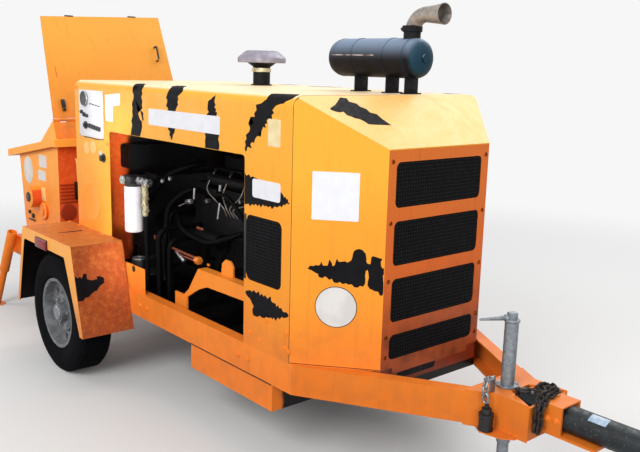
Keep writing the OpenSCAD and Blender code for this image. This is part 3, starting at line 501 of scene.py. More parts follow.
def mirrored(part):
    """A part together with its mirror image across the machine's middle."""
    copy = bmesh.ops.duplicate(part, geom=everything(part))["geom"]
    bmesh.ops.scale(part, vec=(1, -1, 1), verts=of_kind(copy, bmesh.types.BMVert))
    bmesh.ops.reverse_faces(part, faces=of_kind(copy, bmesh.types.BMFace))
    return part


def bevel_edges(part, edges, offset, segments=2):
    bmesh.ops.bevel(part, geom=edges, offset=offset, segments=segments, profile=0.5,
        affect="EDGES", material=-1)


def block(low, high, bevel=0.0, segments=2):
    """Box between two corners, with bevelled edges."""
    part = bmesh.new()
    low, high = Vector(low), Vector(high)
    bmesh.ops.create_cube(part, size=1)
    bmesh.ops.scale(part, vec=high - low, verts=part.verts)
    bmesh.ops.translate(part, vec=(low + high) / 2, verts=part.verts)
    if bevel:
        bevel_edges(part, part.edges[:], bevel, segments)
    return part


def rod(start, end, radius, sides=24, bevel=0.0, end_radius=None):
    """Round bar, or a cone, between two points; six sides make a nut."""
    start, end = Vector(start), Vector(end)
    length = (end - start).length
    part = bmesh.new()
    bmesh.ops.create_cone(part, cap_ends=True, segments=sides, radius1=radius,
        radius2=radius if end_radius is None else end_radius, depth=length)
    bmesh.ops.translate(part, vec=(0, 0, length / 2), verts=part.verts)
    if bevel:
        rims = [e for e in part.edges if any(len(f.verts) > 4 for f in e.link_faces)]
        bevel_edges(part, rims, bevel)
    return place_part(part, start, end - start)


def add_rods(target, *rows):
    """Adds bars, each written as its start, its end and "radius,sides,bevel"."""
    for row in rows:
        start, end, (radius, sides, bevel) = points(row)
        join(target, rod(start, end, radius, int(sides), bevel))
    return target


def add_blocks(target, *rows):
    """Adds blocks, each written as its two corners and its bevel."""
    for row in rows:
        low, high, (bevel,) = points(row)
        join(target, block(low, high, bevel))
    return target


def turned(profile, start=(0, 0, 0), axis=UP, steps=64, angle=360):
    """Solid of revolution: the profile's points are (distance along the axis, radius)."""
    part = bmesh.new()
    verts = [part.verts.new((radius, 0, along)) for along, radius in points(profile)]
    edges = [part.edges.new(pair) for pair in zip(verts, verts[1:])]
    bmesh.ops.spin(part, geom=verts + edges, cent=(0, 0, 0), axis=UP, angle=math.radians(angle),
        steps=steps, use_merge=angle == 360)
    bmesh.ops.remove_doubles(part, verts=part.verts[:], dist=0.01)
    bmesh.ops.recalc_face_normals(part, faces=part.faces[:])
    return place_part(part, start, axis)


def smooth_line(corners, steps):
    """Points of a Catmull-Rom spline through the corners."""
    corners = [Vector(p) for p in points(corners)]
    ends = [2 * corners[0] - corners[1]] + corners + [2 * corners[-1] - corners[-2]]
    line = []
    for a, b, c, d in zip(ends, ends[1:], ends[2:], ends[3:]):
        for t in (i / steps for i in range(steps)):
            quadratic, cubic = 2 * a - 5 * b + 4 * c - d, 3 * b - a - 3 * c + d
            line.append(0.5 * (2 * b + (c - a) * t + quadratic * t * t + cubic * t**3))
    return line + [corners[-1]]


def swept(corners, radius, sides=12, steps=6):
    """Round hose along a smooth line through the corners."""
    line = smooth_line(corners, steps)
    part = bmesh.new()
    ring = bmesh.ops.create_circle(part, cap_ends=True, segments=sides, radius=radius)["verts"]
    ahead = (line[1] - line[0]).normalized()
    turn = Vector(UP).rotation_difference(ahead).to_matrix().to_4x4()
    bmesh.ops.transform(part, matrix=Matrix.Translation(line[0]) @ turn, verts=ring)
    face = part.faces[:]
    for before, here, after in zip(line, line[1:], line[2:] + [2 * line[-1] - line[-2]]):
        grown = bmesh.ops.extrude_face_region(part, geom=face)["geom"]
        if here is not line[1]:
            bmesh.ops.delete(part, geom=face, context="FACES_ONLY")
        face = of_kind(grown, bmesh.types.BMFace)
        new_ahead = (after - before).normalized()
        turn = ahead.rotation_difference(new_ahead).to_matrix().to_4x4()
        ahead = new_ahead
        move = Matrix.Translation(here) @ turn @ Matrix.Translation(-before)
        bmesh.ops.transform(part, matrix=move, verts=of_kind(grown, bmesh.types.BMVert))
    bmesh.ops.recalc_face_normals(part, faces=part.faces[:])
    return part


# Where a flat outline lies on the machine: each takes (u, v, lift) in mm to a place
def on_side(u, v, lift):
    """The right side, bending over onto the roof above the bend's start."""
    if v <= ROOF_BEND_Z:
        return Vector((u, -SIDE_Y - lift, v))
    turn = min((v - ROOF_BEND_Z) / ROOF_BEND_R, math.pi / 2)
    reach = ROOF_BEND_R + lift
    over = max(0.0, v - ROOF_BEND_Z - ROOF_BEND_R * math.pi / 2)
    y = -(SIDE_Y - ROOF_BEND_R) - reach * math.cos(turn) + over
    return Vector((u, y, ROOF_BEND_Z + reach * math.sin(turn)))


def on_nose_side(u, v, lift):
    along = Vector((NOSE_X - SEAM_X, SIDE_Y - NOSE_HALF, 0)).normalized()
    out = Vector((along.y, -along.x, 0))
    return Vector((SEAM_X, -SIDE_Y, v)) + along * u + out * lift


def on_slope(u, v, lift):
    fall = (ROOF_Z - NOSE_TOP_Z) / (NOSE_X - SEAM_X)
    out = Vector((fall, 0, 1)).normalized()
    return Vector((u, v, ROOF_Z - fall * (u - SEAM_X))) + out * lift


def on_fender(u, v, lift):
    height, run = FENDER_TOP - FENDER_LOW, FENDER_TOE - FENDER_FRONT
    out = Vector((height, 0, run)).normalized()
    return Vector((FENDER_FRONT + (FENDER_TOP - v) * run / height, u, v)) + out * lift


def on_nose_face(u, v, lift):
    return Vector((NOSE_X + lift, u, v))


def on_crossmember(u, v, lift):
    return Vector((1214 + lift, u, v))


def on_fender_top(u, v, lift):
    return Vector((u, v, FENDER_TOP + lift))


def on_head_plate(u, v, lift):
    return Vector((u, v, 398 + lift))


def on_hopper(u, v, lift):
    return Vector((u, -500 - lift, v))


def on_guard(u, v, lift):
    """The splash guard's front face: u across, v up from the hinge."""
    lean, half_sheet = math.radians(LEAN), 5
    up = Vector((-math.sin(lean), 0, math.cos(lean)))
    out = Vector((math.cos(lean), 0, math.sin(lean)))
    return Vector((HINGE_X, u, HINGE_Z)) + up * v + out * (half_sheet + lift)


# Rows of the bend where a sticker on the side is cut so that it can follow it
BEND_ROWS = [ROOF_BEND_Z + ROOF_BEND_R * math.pi / 2 * i / 8 for i in range(9)]


def lay_flat(outlines, surface, top=0.5, both=True):
    """Thin sheets with the given outlines, laid on a face of the machine, on both its sides or on
    the right one alone; top is their height above the face."""
    sheets = bmesh.new()
    foot = -0.3
    for outline in map(points, outlines):
        part = bmesh.new()
        part.faces.new([part.verts.new((u, v, 0)) for u, v in outline])
        bmesh.ops.triangulate(part, faces=part.faces[:])
        if surface is on_side and max(v for u, v in outline) > ROOF_BEND_Z:
            for row in BEND_ROWS:
                bmesh.ops.bisect_plane(part, geom=everything(part), plane_co=(0, row, 0),
                    plane_no=(0, 1, 0))
        grown = bmesh.ops.extrude_face_region(part, geom=part.faces[:], use_keep_orig=True)
        for vert in of_kind(grown["geom"], bmesh.types.BMVert):
            vert.co.z = 1
        for vert in part.verts:
            vert.co = surface(vert.co.x, vert.co.y, top if vert.co.z > 0.5 else foot)
        bmesh.ops.recalc_face_normals(part, faces=part.faces[:])
        join(sheets, part)
    return mirrored(sheets) if both else sheets


def strip(u0, v0, u1, v1):
    return [(u0, v0), (u1, v0), (u1, v1), (u0, v1)]


def rounded(u0, v0, u1, v1, radius, steps=5):
    """Outline of a rectangle with round corners."""
    u0, v0, u1, v1 = u0 + radius, v0 + radius, u1 - radius, v1 - radius
    outline = []
    for quarter, (cu, cv) in enumerate(((u1, v1), (u0, v1), (u0, v0), (u1, v0))):
        for i in range(steps + 1):
            angle = math.radians(90 * quarter + 90 * i / steps)
            outline.append((cu + radius * math.cos(angle), cv + radius * math.sin(angle)))
    return outline


def ellipse(u, v, radius, rise=None, steps=48):
    """Outline of a circle, or of an ellipse with its own radius upwards."""
    turns = [2 * math.pi * i / steps for i in range(steps)]
    return [(u + radius * math.cos(a), v + (rise or radius) * math.sin(a)) for a in turns]


# Stripe outlines in mm, each as its first point and then the steps from point to point: (distance
# along the machine, height) on the sides, own axes elsewhere
SIDE_STRIPES = (
    "-520,1790 118,-86 -3,-19 -15,-17 -23,-7 12,-16 -4,-20 -12,-14 -7,-17 6,-16 -4,-24 5,-20"
    " -18,-28 10,-20 -9,-24 -12,-34 106,0 15,25 12,28 -11,9 8,21 -20,8 -9,13 -11,19 -6,20 -6,19"
    " -9,20 -11,16 27,-19 20,-22 21,-12 14,8 -7,18 8,18 -13,22 14,17 -12,16 -4,24 -70,64",
    "-364,1570 20,-6 17,-9 -4,-14 6,-22 -14,-6 -9,27 -6,13",
    "-155,1841 -60,-18 134,-115 4,-31 -4,-20 -8,-9 14,-12 -6,-16 -9,-13 21,-11 -7,-12 -7,-33"
    " 16,-24 -5,-36 19,-14 -7,-13 12,-12 6,-15 13,10 6,20 13,10 6,15 -5,39 10,31 3,25 6,13 -12,9"
    " 30,9 -5,13 9,16 -7,12 26,17 4,15 -95,79",
    "356,1681 -17,-10 -17,-13 -21,-8 10,-10 -7,-21 -9,-9 11,-11 -16,-11 -6,-37 -6,-30 -5,-29 5,-13"
    " -5,-18 2,-18 -2,-15 118,0 5,15 -21,6 21,5 -6,17 -5,6 8,17 -13,34 -5,29 -4,30 7,14 -14,2 5,11"
    " -15,11 10,11 -10,12 4,15",
    "922,1722 -72,68 -106,-71 4,-38 -27,-20 -41,-8 6,-23 -18,-15 6,-14 -31,-2 19,-21 -6,-15 -31,5"
    " 15,-20 -8,-16 -25,-16 6,-15 -12,-16 6,-14 -7,-13 4,-16 10,4 6,19 32,-5 -11,18 17,12 12,-6"
    " 6,19 18,16 25,-2 -19,13 24,13 12,19 18,-6 -6,18 17,4 -6,14 24,9 17,-6 -6,21 17,8 -12,13 23,19"
    " 27,8 24,4 10,9 21,9 14,10",
    "602,1347 10,-13 24,9 10,-13 14,7 56,-10 46,-10 45,-6 60,-19 15,-8 6,-10 11,4 7,-10 11,2 0,-13"
    " 11,-2 -6,-6 -16,2 -10,-11 -9,4 -15,-16 -9,7 -23,-12 -13,4 -22,-17 -9,12 -21,-8 -11,6 -13,-5"
    " -10,7 -18,-16 -9,12 -14,-10 -14,9 -14,-11 -10,7 -19,-14 -10,10 -24,-6 -7,1",
    "615,799 34,11 15,-5 14,12 19,-10 19,13 10,-18 14,12 14,-11 9,11 19,-13 23,17 5,-19 9,-6 23,0"
    " 5,-13 13,11 7,-12 16,4 13,-14 26,4 14,-11 -9,-10 -26,-10 -13,2 -17,-16 -10,7 -17,-20 -14,11"
    " -9,-11 -9,6 -23,-8 -14,2 -14,-10 -19,-2 -14,5 -19,-11 -29,-1 -10,12 0,18 9,14 -15,15 -14,14"
    " -20,7 -15,11",
)
NOSE_STRIPE = (
    "74,978 11,14 18,0 6,7 5,-5 13,4 5,14 9,-16 19,1 7,28 11,-16 3,-13 8,3 10,31 8,-13 13,1 14,3"
    " 10,-5 16,10 5,19 2,16 7,11 16,6 16,-4 14,-15 4,-21 0,-14 5,-7 13,-2 2,29 7,7 19,-5 21,-5"
    " -7,-15 3,-16 6,-11 5,6 2,-27 -4,-11 4,-38 0,-35 -3,-11 -10,-1 -8,16 -14,1 -10,5 -14,5 -8,15"
    " 0,14 4,19 -3,22 -4,11 -7,-6 -2,-22 2,-16 -1,-17 -8,-14 -13,4 -8,-8 -16,-1 -11,12 -16,-1 -8,5"
    " -16,-5 -11,9 -10,-6 -16,1 -9,16 -11,-5 -11,9 -8,5 -10,-9 -17,4 -3,14 -8,2 -22,12"
)
SLOPE_STRIPE = (
    "954,-342 5,34 20,-3 12,33 18,4 15,25 20,2 10,30 30,7 36,20 -7,-97 -4,-30 -17,-9 -12,-13"
    " -6,-23 -9,-11 -10,-19 -19,-2 4,-23 -5,-18 -10,-19 -10,3 -18,44 -19,30"
)
FENDER_STRIPE = (
    "-895,642 4,14 15,-15 13,9 6,-14 16,27 17,-5 -1,-27 16,-8 18,-3 24,2 -1,14 18,1 25,-15 -4,-27"
    " -20,-8 -17,-14 -11,-15 -11,2 -23,-13 -17,-14 -23,-1 -11,-15 -33,4 0,35 0,38"
)


def outline_of(steps):
    """The outline whose first point and further steps are written out."""
    return list(zip(*map(accumulate, zip(*points(steps)))))


def paint_stripes():
    stripes = lay_flat(map(outline_of, SIDE_STRIPES), on_side)
    join(
        stripes,
        lay_flat([outline_of(NOSE_STRIPE)], on_nose_side),
        lay_flat([outline_of(FENDER_STRIPE)], on_fender),
        lay_flat([outline_of(SLOPE_STRIPE)], on_slope, both=False),
    )
    finish_piece("tiger_stripes", stripes, stripe_paint)


def blank_plates():
    """Blank plates and stickers: name, outline, face, finish and height above the face."""
    patch = "-775,1486 -758,1484 -683,1484 -678,1572 -593,1582 -590,1648 -775,1632"
    on_both_sides = (
        ("maker_plate_blank", rounded(-269, 1499, 399, 1584, 6), on_side, white_plate, 1.6),
        ("small_plate_blank", rounded(662, 1245, 864, 1329, 14), on_side, white_plate, 1.6),
        ("nose_square_blank", rounded(86, 1193, 285, 1397, 3), on_nose_side, white_plate, 1.6),
        ("nose_round_rim", ellipse(201, 817, 91), on_nose_side, stripe_paint, 1.2),
        ("nose_round_blank", ellipse(201, 817, 88), on_nose_side, grey_plate, 1.6),
    )
    on_the_right = (
        ("side_label_blank", rounded(771, 1482, 858, 1599, 5), on_side, cream_plate, 1.0),
        ("post_patch_blank", patch, on_side, white_plate, 1.0),
        ("post_round_blank", ellipse(-1041, 1306, 36), on_side, faded_plate, 0.8),
        ("post_round_blank_2", ellipse(-951, 1316, 36), on_side, faded_plate, 0.8),
        ("hopper_label_blank", rounded(-2010, 1078, -1880, 1165, 6), on_hopper, grey_plate, 1.0),
        ("hopper_label_low_blank", rounded(-2034, 985, -1900, 1055, 6), on_hopper, grey_plate, 1.0),
        ("hopper_oval_blank", ellipse(-2216, 1032, 82, 98), on_hopper, grey_plate, 1.0),
    )
    for plates, both in ((on_both_sides, True), (on_the_right, False)):
        for name, outline, surface, finish, top in plates:
            sheet = lay_flat([outline], surface, top, both)
            finish_piece(name, sheet, finish, slot="white_paint")


def bolt(place, out, radius=9.0, height=7.0, washer=True):
    """Hexagon head with its washer, standing on a face."""
    place, out = Vector(place), Vector(out).normalized()
    head = rod(place, place + out * height, radius, 6, 0.8)
    if washer:
        join(head, rod(place, place + out * 2, radius * 1.5, 20))
    return head


def sheet_bolts():
    """Bolts that hold the sheets, the nose and the fenders."""
    bolts = bmesh.new()
    spots = "652,610 925,680 916,608 726,592 937,597 783,700 -760,1350 -1160,1660"
    for u, v in points(spots):
        join(bolts, bolt(on_side(u, v, 0), RIGHT, 8, 5))
    for x in (-405, -325, 560, 640):
        join(bolts, bolt((x, -SIDE_Y, 474), RIGHT, 10, 8))
    for u in (-303, 303):
        for v in (1448, 1190, 940, 690, 600):
            join(bolts, bolt(on_nose_face(u, v, 0), FORWARD, 6, 4))
    for x in (-1290, -1150, -980, -830, -690):
        join(bolts, bolt((x, -600, FENDER_TOP), UP, 7, 5))
    finish_piece("sheet_bolts", mirrored(bolts), frame_enamel)


def panel_seams():
    """Access plates and pressed covers, the sheets' joints, the slot under the nose as painted
    shade, and the trim of the side openings."""
    raised = lay_flat([rounded(759, 622, 912, 684, 4)], on_side, 2.0)
    cover = "-0.2,0 -0.2,118 2.2,118 3.2,114 2.4,108 1.2,104 1.2,0"
    join(raised, mirrored(turned(cover, (-990, -SIDE_Y, 985), RIGHT, 72)))
    finish_piece("pressed_covers", raised, body_enamel)
    rear, front, sheet_low, bend_low = SEAM_X - 1.2, SEAM_X + 1.2, RAIL_TOP + 3, 1652
    nose_length, roof_far = 401, 2240
    lines = bmesh.new()
    join(lines, lay_flat([strip(rear, sheet_low, front, bend_low)], on_side, 0.35),
        lay_flat([strip(rear, bend_low, front, roof_far)], on_side, 0.35, False),
        lay_flat([strip(3, sheet_low, nose_length, sheet_low + 3)], on_nose_side, 0.35),
        # Black patch on the crossmember: the slot under the nose, painted shade
        lay_flat([rounded(-184, 464, 70, 508, 18)], on_crossmember, 0.4, False))
    # Shadow gap between the tank and the rail that it hangs from
    tank_gap = block((132, -SIDE_Y - 0.3, RAIL_LOW - 4), (815, -560, RAIL_LOW + 1.5))
    finish_piece("sheet_joints_and_painted_shade", join(lines, mirrored(tank_gap)), black_paint)
    # Black strip between the window and the opening
    black_strip = block((599.6, -SIDE_Y - 0.6, WINDOW_LOW), (616.5, -SIDE_Y + 5, WINDOW_TOP), 0.5)
    finish_piece("window_black_strip", mirrored(black_strip), black_plastic)
    # Step of sheet that stands on the rail at the opening's rear corner, and its plug
    step = block((-735, -576, RAIL_TOP), (-363, -572, 690), 1)
    finish_piece("sill_step", mirrored(step), frame_enamel)
    plug = rod((-488, -575, 668), (-488, -577.4, 668), 19)
    finish_piece("sill_plug", mirrored(plug), black_plastic)


def meshes():
    """Crossed wires in the nose slots and the side windows, in front of the dark backing."""
    wires = bmesh.new()
    half, columns, pitch = 279, 36, 15.5
    for top, height in ((1444, 193), (1194, 193), (944, 193), (694, 112)):
        for i in range(columns):
            y = -half + (i + 0.5) * 2 * half / columns
            low, high = (NOSE_X - 4, y - WIRE, top - height), (NOSE_X - 2.4, y + WIRE, top)
            join(wires, block(low, high))
        rows = round(height / pitch)
        for i in range(rows):
            z = top - (i + 0.5) * height / rows
            join(wires, block((NOSE_X - 3.2, -half, z - WIRE), (NOSE_X - 1.6, half, z + WIRE)))
    sides = bmesh.new()
    columns, rows = 17, 20
    for i in range(columns):
        x = WINDOW_REAR + (i + 0.5) * (WINDOW_FRONT - WINDOW_REAR) / columns
        low, high = (x - WIRE, -SIDE_Y + 2.4, WINDOW_LOW), (x + WIRE, -SIDE_Y + 4, WINDOW_TOP)
        join(sides, block(low, high))
    for i in range(rows):
        z = WINDOW_LOW + (i + 0.5) * (WINDOW_TOP - WINDOW_LOW) / rows
        low = (WINDOW_REAR, -SIDE_Y + 1.6, z - WIRE)
        join(sides, block(low, (WINDOW_FRONT, -SIDE_Y + 3.2, z + WIRE)))
    finish_piece("mesh_wires", join(wires, mirrored(sides)), black_paint)


def tyres():
    """Carcass with block tread and stepped walls, one for each side."""
    half, crown, tread_foot = 76, 349, 340
    wall = points("88,343.5 95.5,330 99.5,312 101,300 102.3,298 102.4,262 101,259 100.5,240 97,222"
        " 88,213 77,210.6 74,200.6")
    wall.insert(0, (half, crown))
    tread = [(half * (i / 3 - 1), crown + 0.6 * (1 - (i - 3) ** 2 / 9)) for i in range(1, 6)]
    profile = [(-a, r) for a, r in reversed(wall)] + tread + wall
    profile.append(profile[0])
    for name, side in SIDES:
        centre = Vector((WHEEL_X, side * WHEEL_Y, WHEEL_Z))
        carcass = turned(profile, centre, (0, 1, 0), 84)
        blocks = []
        for face in carcass.faces:
            away = face.calc_center_median() - centre
            if abs(away.y) < half and math.hypot(away.x, away.z) > tread_foot:
                blocks.append(face)
        bmesh.ops.inset_individual(carcass, faces=blocks, thickness=2.4, depth=5.0)
        finish_piece(f"tyre_{name}_tread", carcass, tyre_rubber, f"wheel_{name}",
            replaces=[f"tyre_{name}"], sharp=24)


def wheel_fittings():
    """Nuts, hub cap and valve on each rim, and the rim's rolled lip."""
    for name, side in SIDES:
        outwards = (0, side, 0)
        hub = Vector((WHEEL_X, side * WHEEL_Y, WHEEL_Z))
        fittings = bmesh.new()
        circle, disc = 85, 52
        for i in range(6):
            turn = math.radians(60 * i + 12)
            place = Vector((circle * math.cos(turn), side * disc, circle * math.sin(turn)))
            join(fittings, bolt(hub + place, outwards, 13, 16))
        cap = hub + Vector((0, side * 85, 0))
        join(fittings, turned("0,0 0,44 6,44 12,36 14,0", cap, outwards, 40))
        valve = hub + Vector((172, side * 34, 0))
        join(fittings, rod(valve, valve + Vector((-8, side * 34, 0)), 4.5))
        finish_piece(f"wheel_fittings_{name}", fittings, zinc_steel, f"wheel_{name}")
        lip = turned("80,200 84,207 91.5,207.8 92.5,204 90,198 88,190", hub, outwards, 84)
        finish_piece(f"rim_lip_{name}", lip, wheel_lacquer, f"wheel_{name}")


def lamps():
    """Red side lamps on the fenders and tail lamps on the rails, each in a dark frame."""
    lenses = block((-1088, -909.5, 728), (-928, -897, 788), 6, 3)
    join(lenses, block((-2359.5, -575, 470), (-2338, -455, 522), 6, 3))
    frames = add_blocks(bmesh.new(), "-1091,-901,726 -925,-896.2,790 2",
        "-2340,-580,465 -2330,-450,525 2")
    finish_piece("lamp_lenses", mirrored(lenses), lens_red, replaces=["lamps"])
    finish_piece("lamp_frames", mirrored(frames), black_plastic)


def control_panel():
    """White plate with a gauge, buttons and a row of switches, and the knob below it."""
    face, post = -593, -SIDE_Y
    plate = block((-1111, face, 1376), (-800, post, 1650), 2)
    finish_piece("control_plate", plate, white_plate, replaces=["control_panel"])
    gauge = (-1026, face, 1600)
    dark = turned("0,0 0,44 9,44 12,41 10,37 9,0", gauge, RIGHT, 48)
    for x, z, r in points("-1068,1520,11 -1034,1506,13 -998,1500,10"):
        button = [(0, 0), (0, r), (10, r), (13, r * 0.7), (13, 0)]
        join(dark, turned(button, (x, face, z), RIGHT, 24))
    join(dark, turned("0,0 0,23 7,23 9,13 16,12 18,0", (-1020, face, 1444), RIGHT, 32))
    for x, z in points("-966,1444 -934,1441 -902,1438 -868,1435 -836,1432"):
        join(dark, block((x - 11, face - 11, z - 13), (x + 11, face, z + 13), 2))
    for x, z in points("-950,1572 -915,1569 -880,1566 -845,1563"):
        join(dark, block((x - 14, face - 1.4, z - 3.5), (x + 14, face, z + 3.5), 0.5))
    # Black cord under the plate: painted shadow of the plate's lower edge
    join(dark, swept("-1062,-587,1370 -980,-588,1372 -900,-588,1368 -800,-587,1374", 3.2, 10))
    knob = "0,0 0,27 5,27 6,19 22,18 25,13 26,0"
    join(dark, turned(knob, (-812, post, 1266), RIGHT, 32))
    finish_piece("panel_controls", dark, black_plastic)
    bright = turned("0,44.5 8,47 12,45 12,42 9,42", gauge, RIGHT, 48)
    join(bright, turned("0,0 0,26 3,27 5,22 5,0", (-846, post, 1278), RIGHT, 32))
    for x, z in points("-1104,1643 -807,1643 -1104,1383 -807,1383"):
        join(bright, bolt((x, face, z), RIGHT, 4, 3, False))
    finish_piece("panel_trim", bright, bright_steel)


def oil_filter():
    """White canister under a black head, with steel unions and a pale fittings line."""
    can = turned("0,0 0,44 4,50 10,52 255,52 262,50 266,47 266,0", (FILTER_X, FILTER_Y, 855),
        steps=56)
    finish_piece("filter_can", can, white_enamel, replaces=["oil_filter"])
    head = turned("0,0 0,47 14,47 14,0", (FILTER_X, FILTER_Y, 1121), steps=40)
    join(head, block((-676, -546, 1135), (-568, -450, 1180), 8, 3))
    add_blocks(head, "-668,-452,1142 -644,-338,1174 3", "-772,-343,1142 -644,-334,1174 3")
    finish_piece("filter_head", head, black_plastic)
    chrome = turned("0,0 0,24 6,26 12,25 16,20 16,0", (-650, -545, 1157), RIGHT, 40)
    for x in (-550, -500, -452):
        join(chrome, rod((x, FILTER_Y, 1160), (x + 22, FILTER_Y, 1160), 24, 6, 1.5))
    add_rods(chrome, "-568,-500,1160 -424,-500,1160 13,24,0",
        "-424,-500,1160 -392,-548,1160 12,24,2")
    finish_piece("filter_unions", chrome, bright_steel)
    line = rod((-396, -546, 984), (-390, -548, 1160), 9)
    for i, z in enumerate((986, 1020, 1054, 1088, 1122)):
        shift = 3 if i % 2 else -3
        join(line, rod((-394 + shift, -547, z), (-393 + shift, -547, z + 20), 17, 6, 2))
        join(line, rod((-394 - shift, -566, z + 27), (-394 - shift, -528, z + 27), 8, 12, 1))
    finish_piece("filter_line", line, brass)


def muffler():
    """Silencer with domed ends, seam, straps and feet, and its exhaust pipe."""
    at = Vector((MUFFLER_REAR, MUFFLER_Y, MUFFLER_Z))
    length, r = MUFFLER_LENGTH, MUFFLER_R
    dome = points("0,0 1.5,30 5,52 13,72 26,86 42,92.5 60,95 60.5,96 66,96 66.5,95")
    profile = dome + [(length - a, b) for a, b in reversed(dome)]
    body = turned(profile, at, FORWARD, 72)
    seam = block(at + Vector((62, -r - 2, 8)), at + Vector((length - 250, -r + 5, 14)), 2)
    finish_piece("silencer_seam", seam, seam_highlight_metal)
    join(body, turned("0,0 0,20 16,20", at + Vector((length + 6, 0, 0)), (-1, 0, 0), 32))
    feet = bmesh.new()
    for x in (RISER_X - 338, RISER_X - 117, RISER_X + 9):
        join(feet, block((x - 20, at.y - 55, ROOF_Z), (x + 20, at.y + 55, ROOF_Z + 6), 1.5))
        join(feet, block((x - 4, at.y - 45, ROOF_Z), (x + 4, at.y + 45, at.z - 78), 1))
        join(body, turned("-12,94 -12,97 12,97 12,94", (x, at.y, at.z), FORWARD, 72))
    finish_piece("silencer_feet", feet, black_paint)
    finish_piece("silencer", body, silencer_paint_painted_sheen, replaces=["muffler"])
    top = Vector((RISER_X, MUFFLER_Y, MUFFLER_Z + r))
    pipe = turned("-16,36 22,36", top, steps=40)
    start, bend, pipe_r = top + Vector((0, 0, 20)), 85, 36
    turns = [math.radians(a) for a in range(0, 91, 9)]
    elbow = [start + bend * Vector((1 - math.cos(a), 0, math.sin(a))) for a in turns]
    join(pipe, swept(elbow, pipe_r, 36, 1))
    flare = "0,36 60,42 98,47 110,49 110,46.5 98,44.5 60,39 5,30 5,0"
    join(pipe, turned(flare, start + Vector((bend, 0, bend)), FORWARD, 48))
    finish_piece("exhaust_pipe", pipe, exhaust_steel)
    clamp = turned("-6,36 -6,41 26,41 28,48 54,48 56,46 56,36", top, steps=48)
    join(clamp, block(top + Vector((-64, -9, 32)), top + Vector((-42, 9, 50)), 2))
    join(clamp, rod(top + Vector((-54, -20, 41)), top + Vector((-54, 20, 41)), 5, 6))
    finish_piece("riser_clamp", clamp, black_paint)


def rain_cap():
    """Rain cap on the engine's intake, with its neck and band."""
    at = Vector((-340, MUFFLER_Y, ROOF_Z))
    cap = "132,50 130,138 133,141 156,141.5 162,138 184,112 196,96 200,86 200,0"
    neck = "0,62 6,62 8,50 106,50 130,84 134,84 134,50"
    # The neck is black: painted shade under the cap
    finish_piece("intake_neck", turned(neck, at, steps=56), black_paint)
    finish_piece("intake_cap", turned(cap, at), cap_paint, replaces=["rain_cap"])
    band_ring = turned("78,50 78,55 100,55 100,50", at, steps=56)
    join(band_ring, block(at + Vector((-9, -68, 80)), at + Vector((9, -52, 98)), 2))
    finish_piece("intake_band", band_ring, brass)


def jack():
    """Galvanised jack tube with its base flange, gear head and crank."""
    flange = points("305,24.6 305,28.5 551,28.5 551,46 553,47.5 559,47.5 561,46 561,28.6 562,28.5")
    head = points("-2,28.5 0,31 3,33 10,33 12,30 12,22 36,22 40,18 40,0")
    profile = flange + [(JACK_TOP + a, r) for a, r in head]
    tube = turned(profile, (JACK_X, JACK_Y, 0), steps=48)
    circle, flange_top = 38, 561
    for i in range(4):
        turn = math.radians(90 * i + 40)
        place = (JACK_X + circle * math.cos(turn), JACK_Y + circle * math.sin(turn), flange_top)
        join(tube, bolt(place, UP, 6, 5, False))
    turn = math.radians(-115)
    crank = Vector((math.cos(turn), math.sin(turn), 0))
    start = Vector((JACK_X, JACK_Y, JACK_TOP + 18))
    join(tube, rod(start + crank * 14, start + crank * 34, 14, bevel=1.5))
    join(tube, rod(start + crank * 32, start + crank * 146, 11, bevel=1, end_radius=4.6))
    finish_piece("jack_body", tube, zinc_steel, replaces=["jack_tube"])


# Ends of the chains' links, in mm from a place on the tongue's head
HEAP_CHAIN = (
    "-62,-70,71 -36.9,-51.8,73 -9.3,-38.1,71.2 8,-12.7,72.8 -10,12.5,71 -38.5,24.2,72.9"
    " -33.4,54.6,73 -4.2,63.7,76 21.3,46.6,79 34.1,20.6,88.5 28,-9,83 32.1,-39.4,82.5"
    " 32.6,-70.2,81.5 39,-96.4,66.3 42.8,-109.2,38.5 43.7,-107.5,7.6 41.4,-105.4,-22.9"
    " 38.8,-102.8,-53.4"
)
SECOND_CHAIN = (
    "-30,40,60 -52,66,60 -24,80,62 6,74,63 30,58,68 44,30,72 48,0,74 50,-30,70 56,-58,68"
    " 62,-84,56 62,-96,28 60,-96,-2 58,-94,-32 56,-92,-60"
)
PLUG_CHAIN = "0,13,59.6 0.1,-17.8,59.6 4.2,-33.4,33.6 8.3,-32.9,3 12.2,-30.9,-27.5"


def chain_link(start, end, quarter):
    """Link of 11 mm wire between two points of a chain's path."""
    wire, reach, stretch = 5.4, 11.6, 9
    turns = [math.radians(36 * i) for i in range(11)]
    link = turned([(wire * math.sin(a), reach + wire * math.cos(a)) for a in turns], steps=20)
    for vert in link.verts:
        vert.co.x += math.copysign(stretch, vert.co.x) if abs(vert.co.x) > 0.01 else 0
    turn = Vector(FORWARD).rotation_difference(end - start).to_matrix().to_4x4()
    roll = Matrix.Rotation(math.radians(90 * quarter), 4, "X")
    place = Matrix.Translation((start + end) / 2) @ turn @ roll
    bmesh.ops.transform(link, matrix=place, verts=link.verts)
    return link


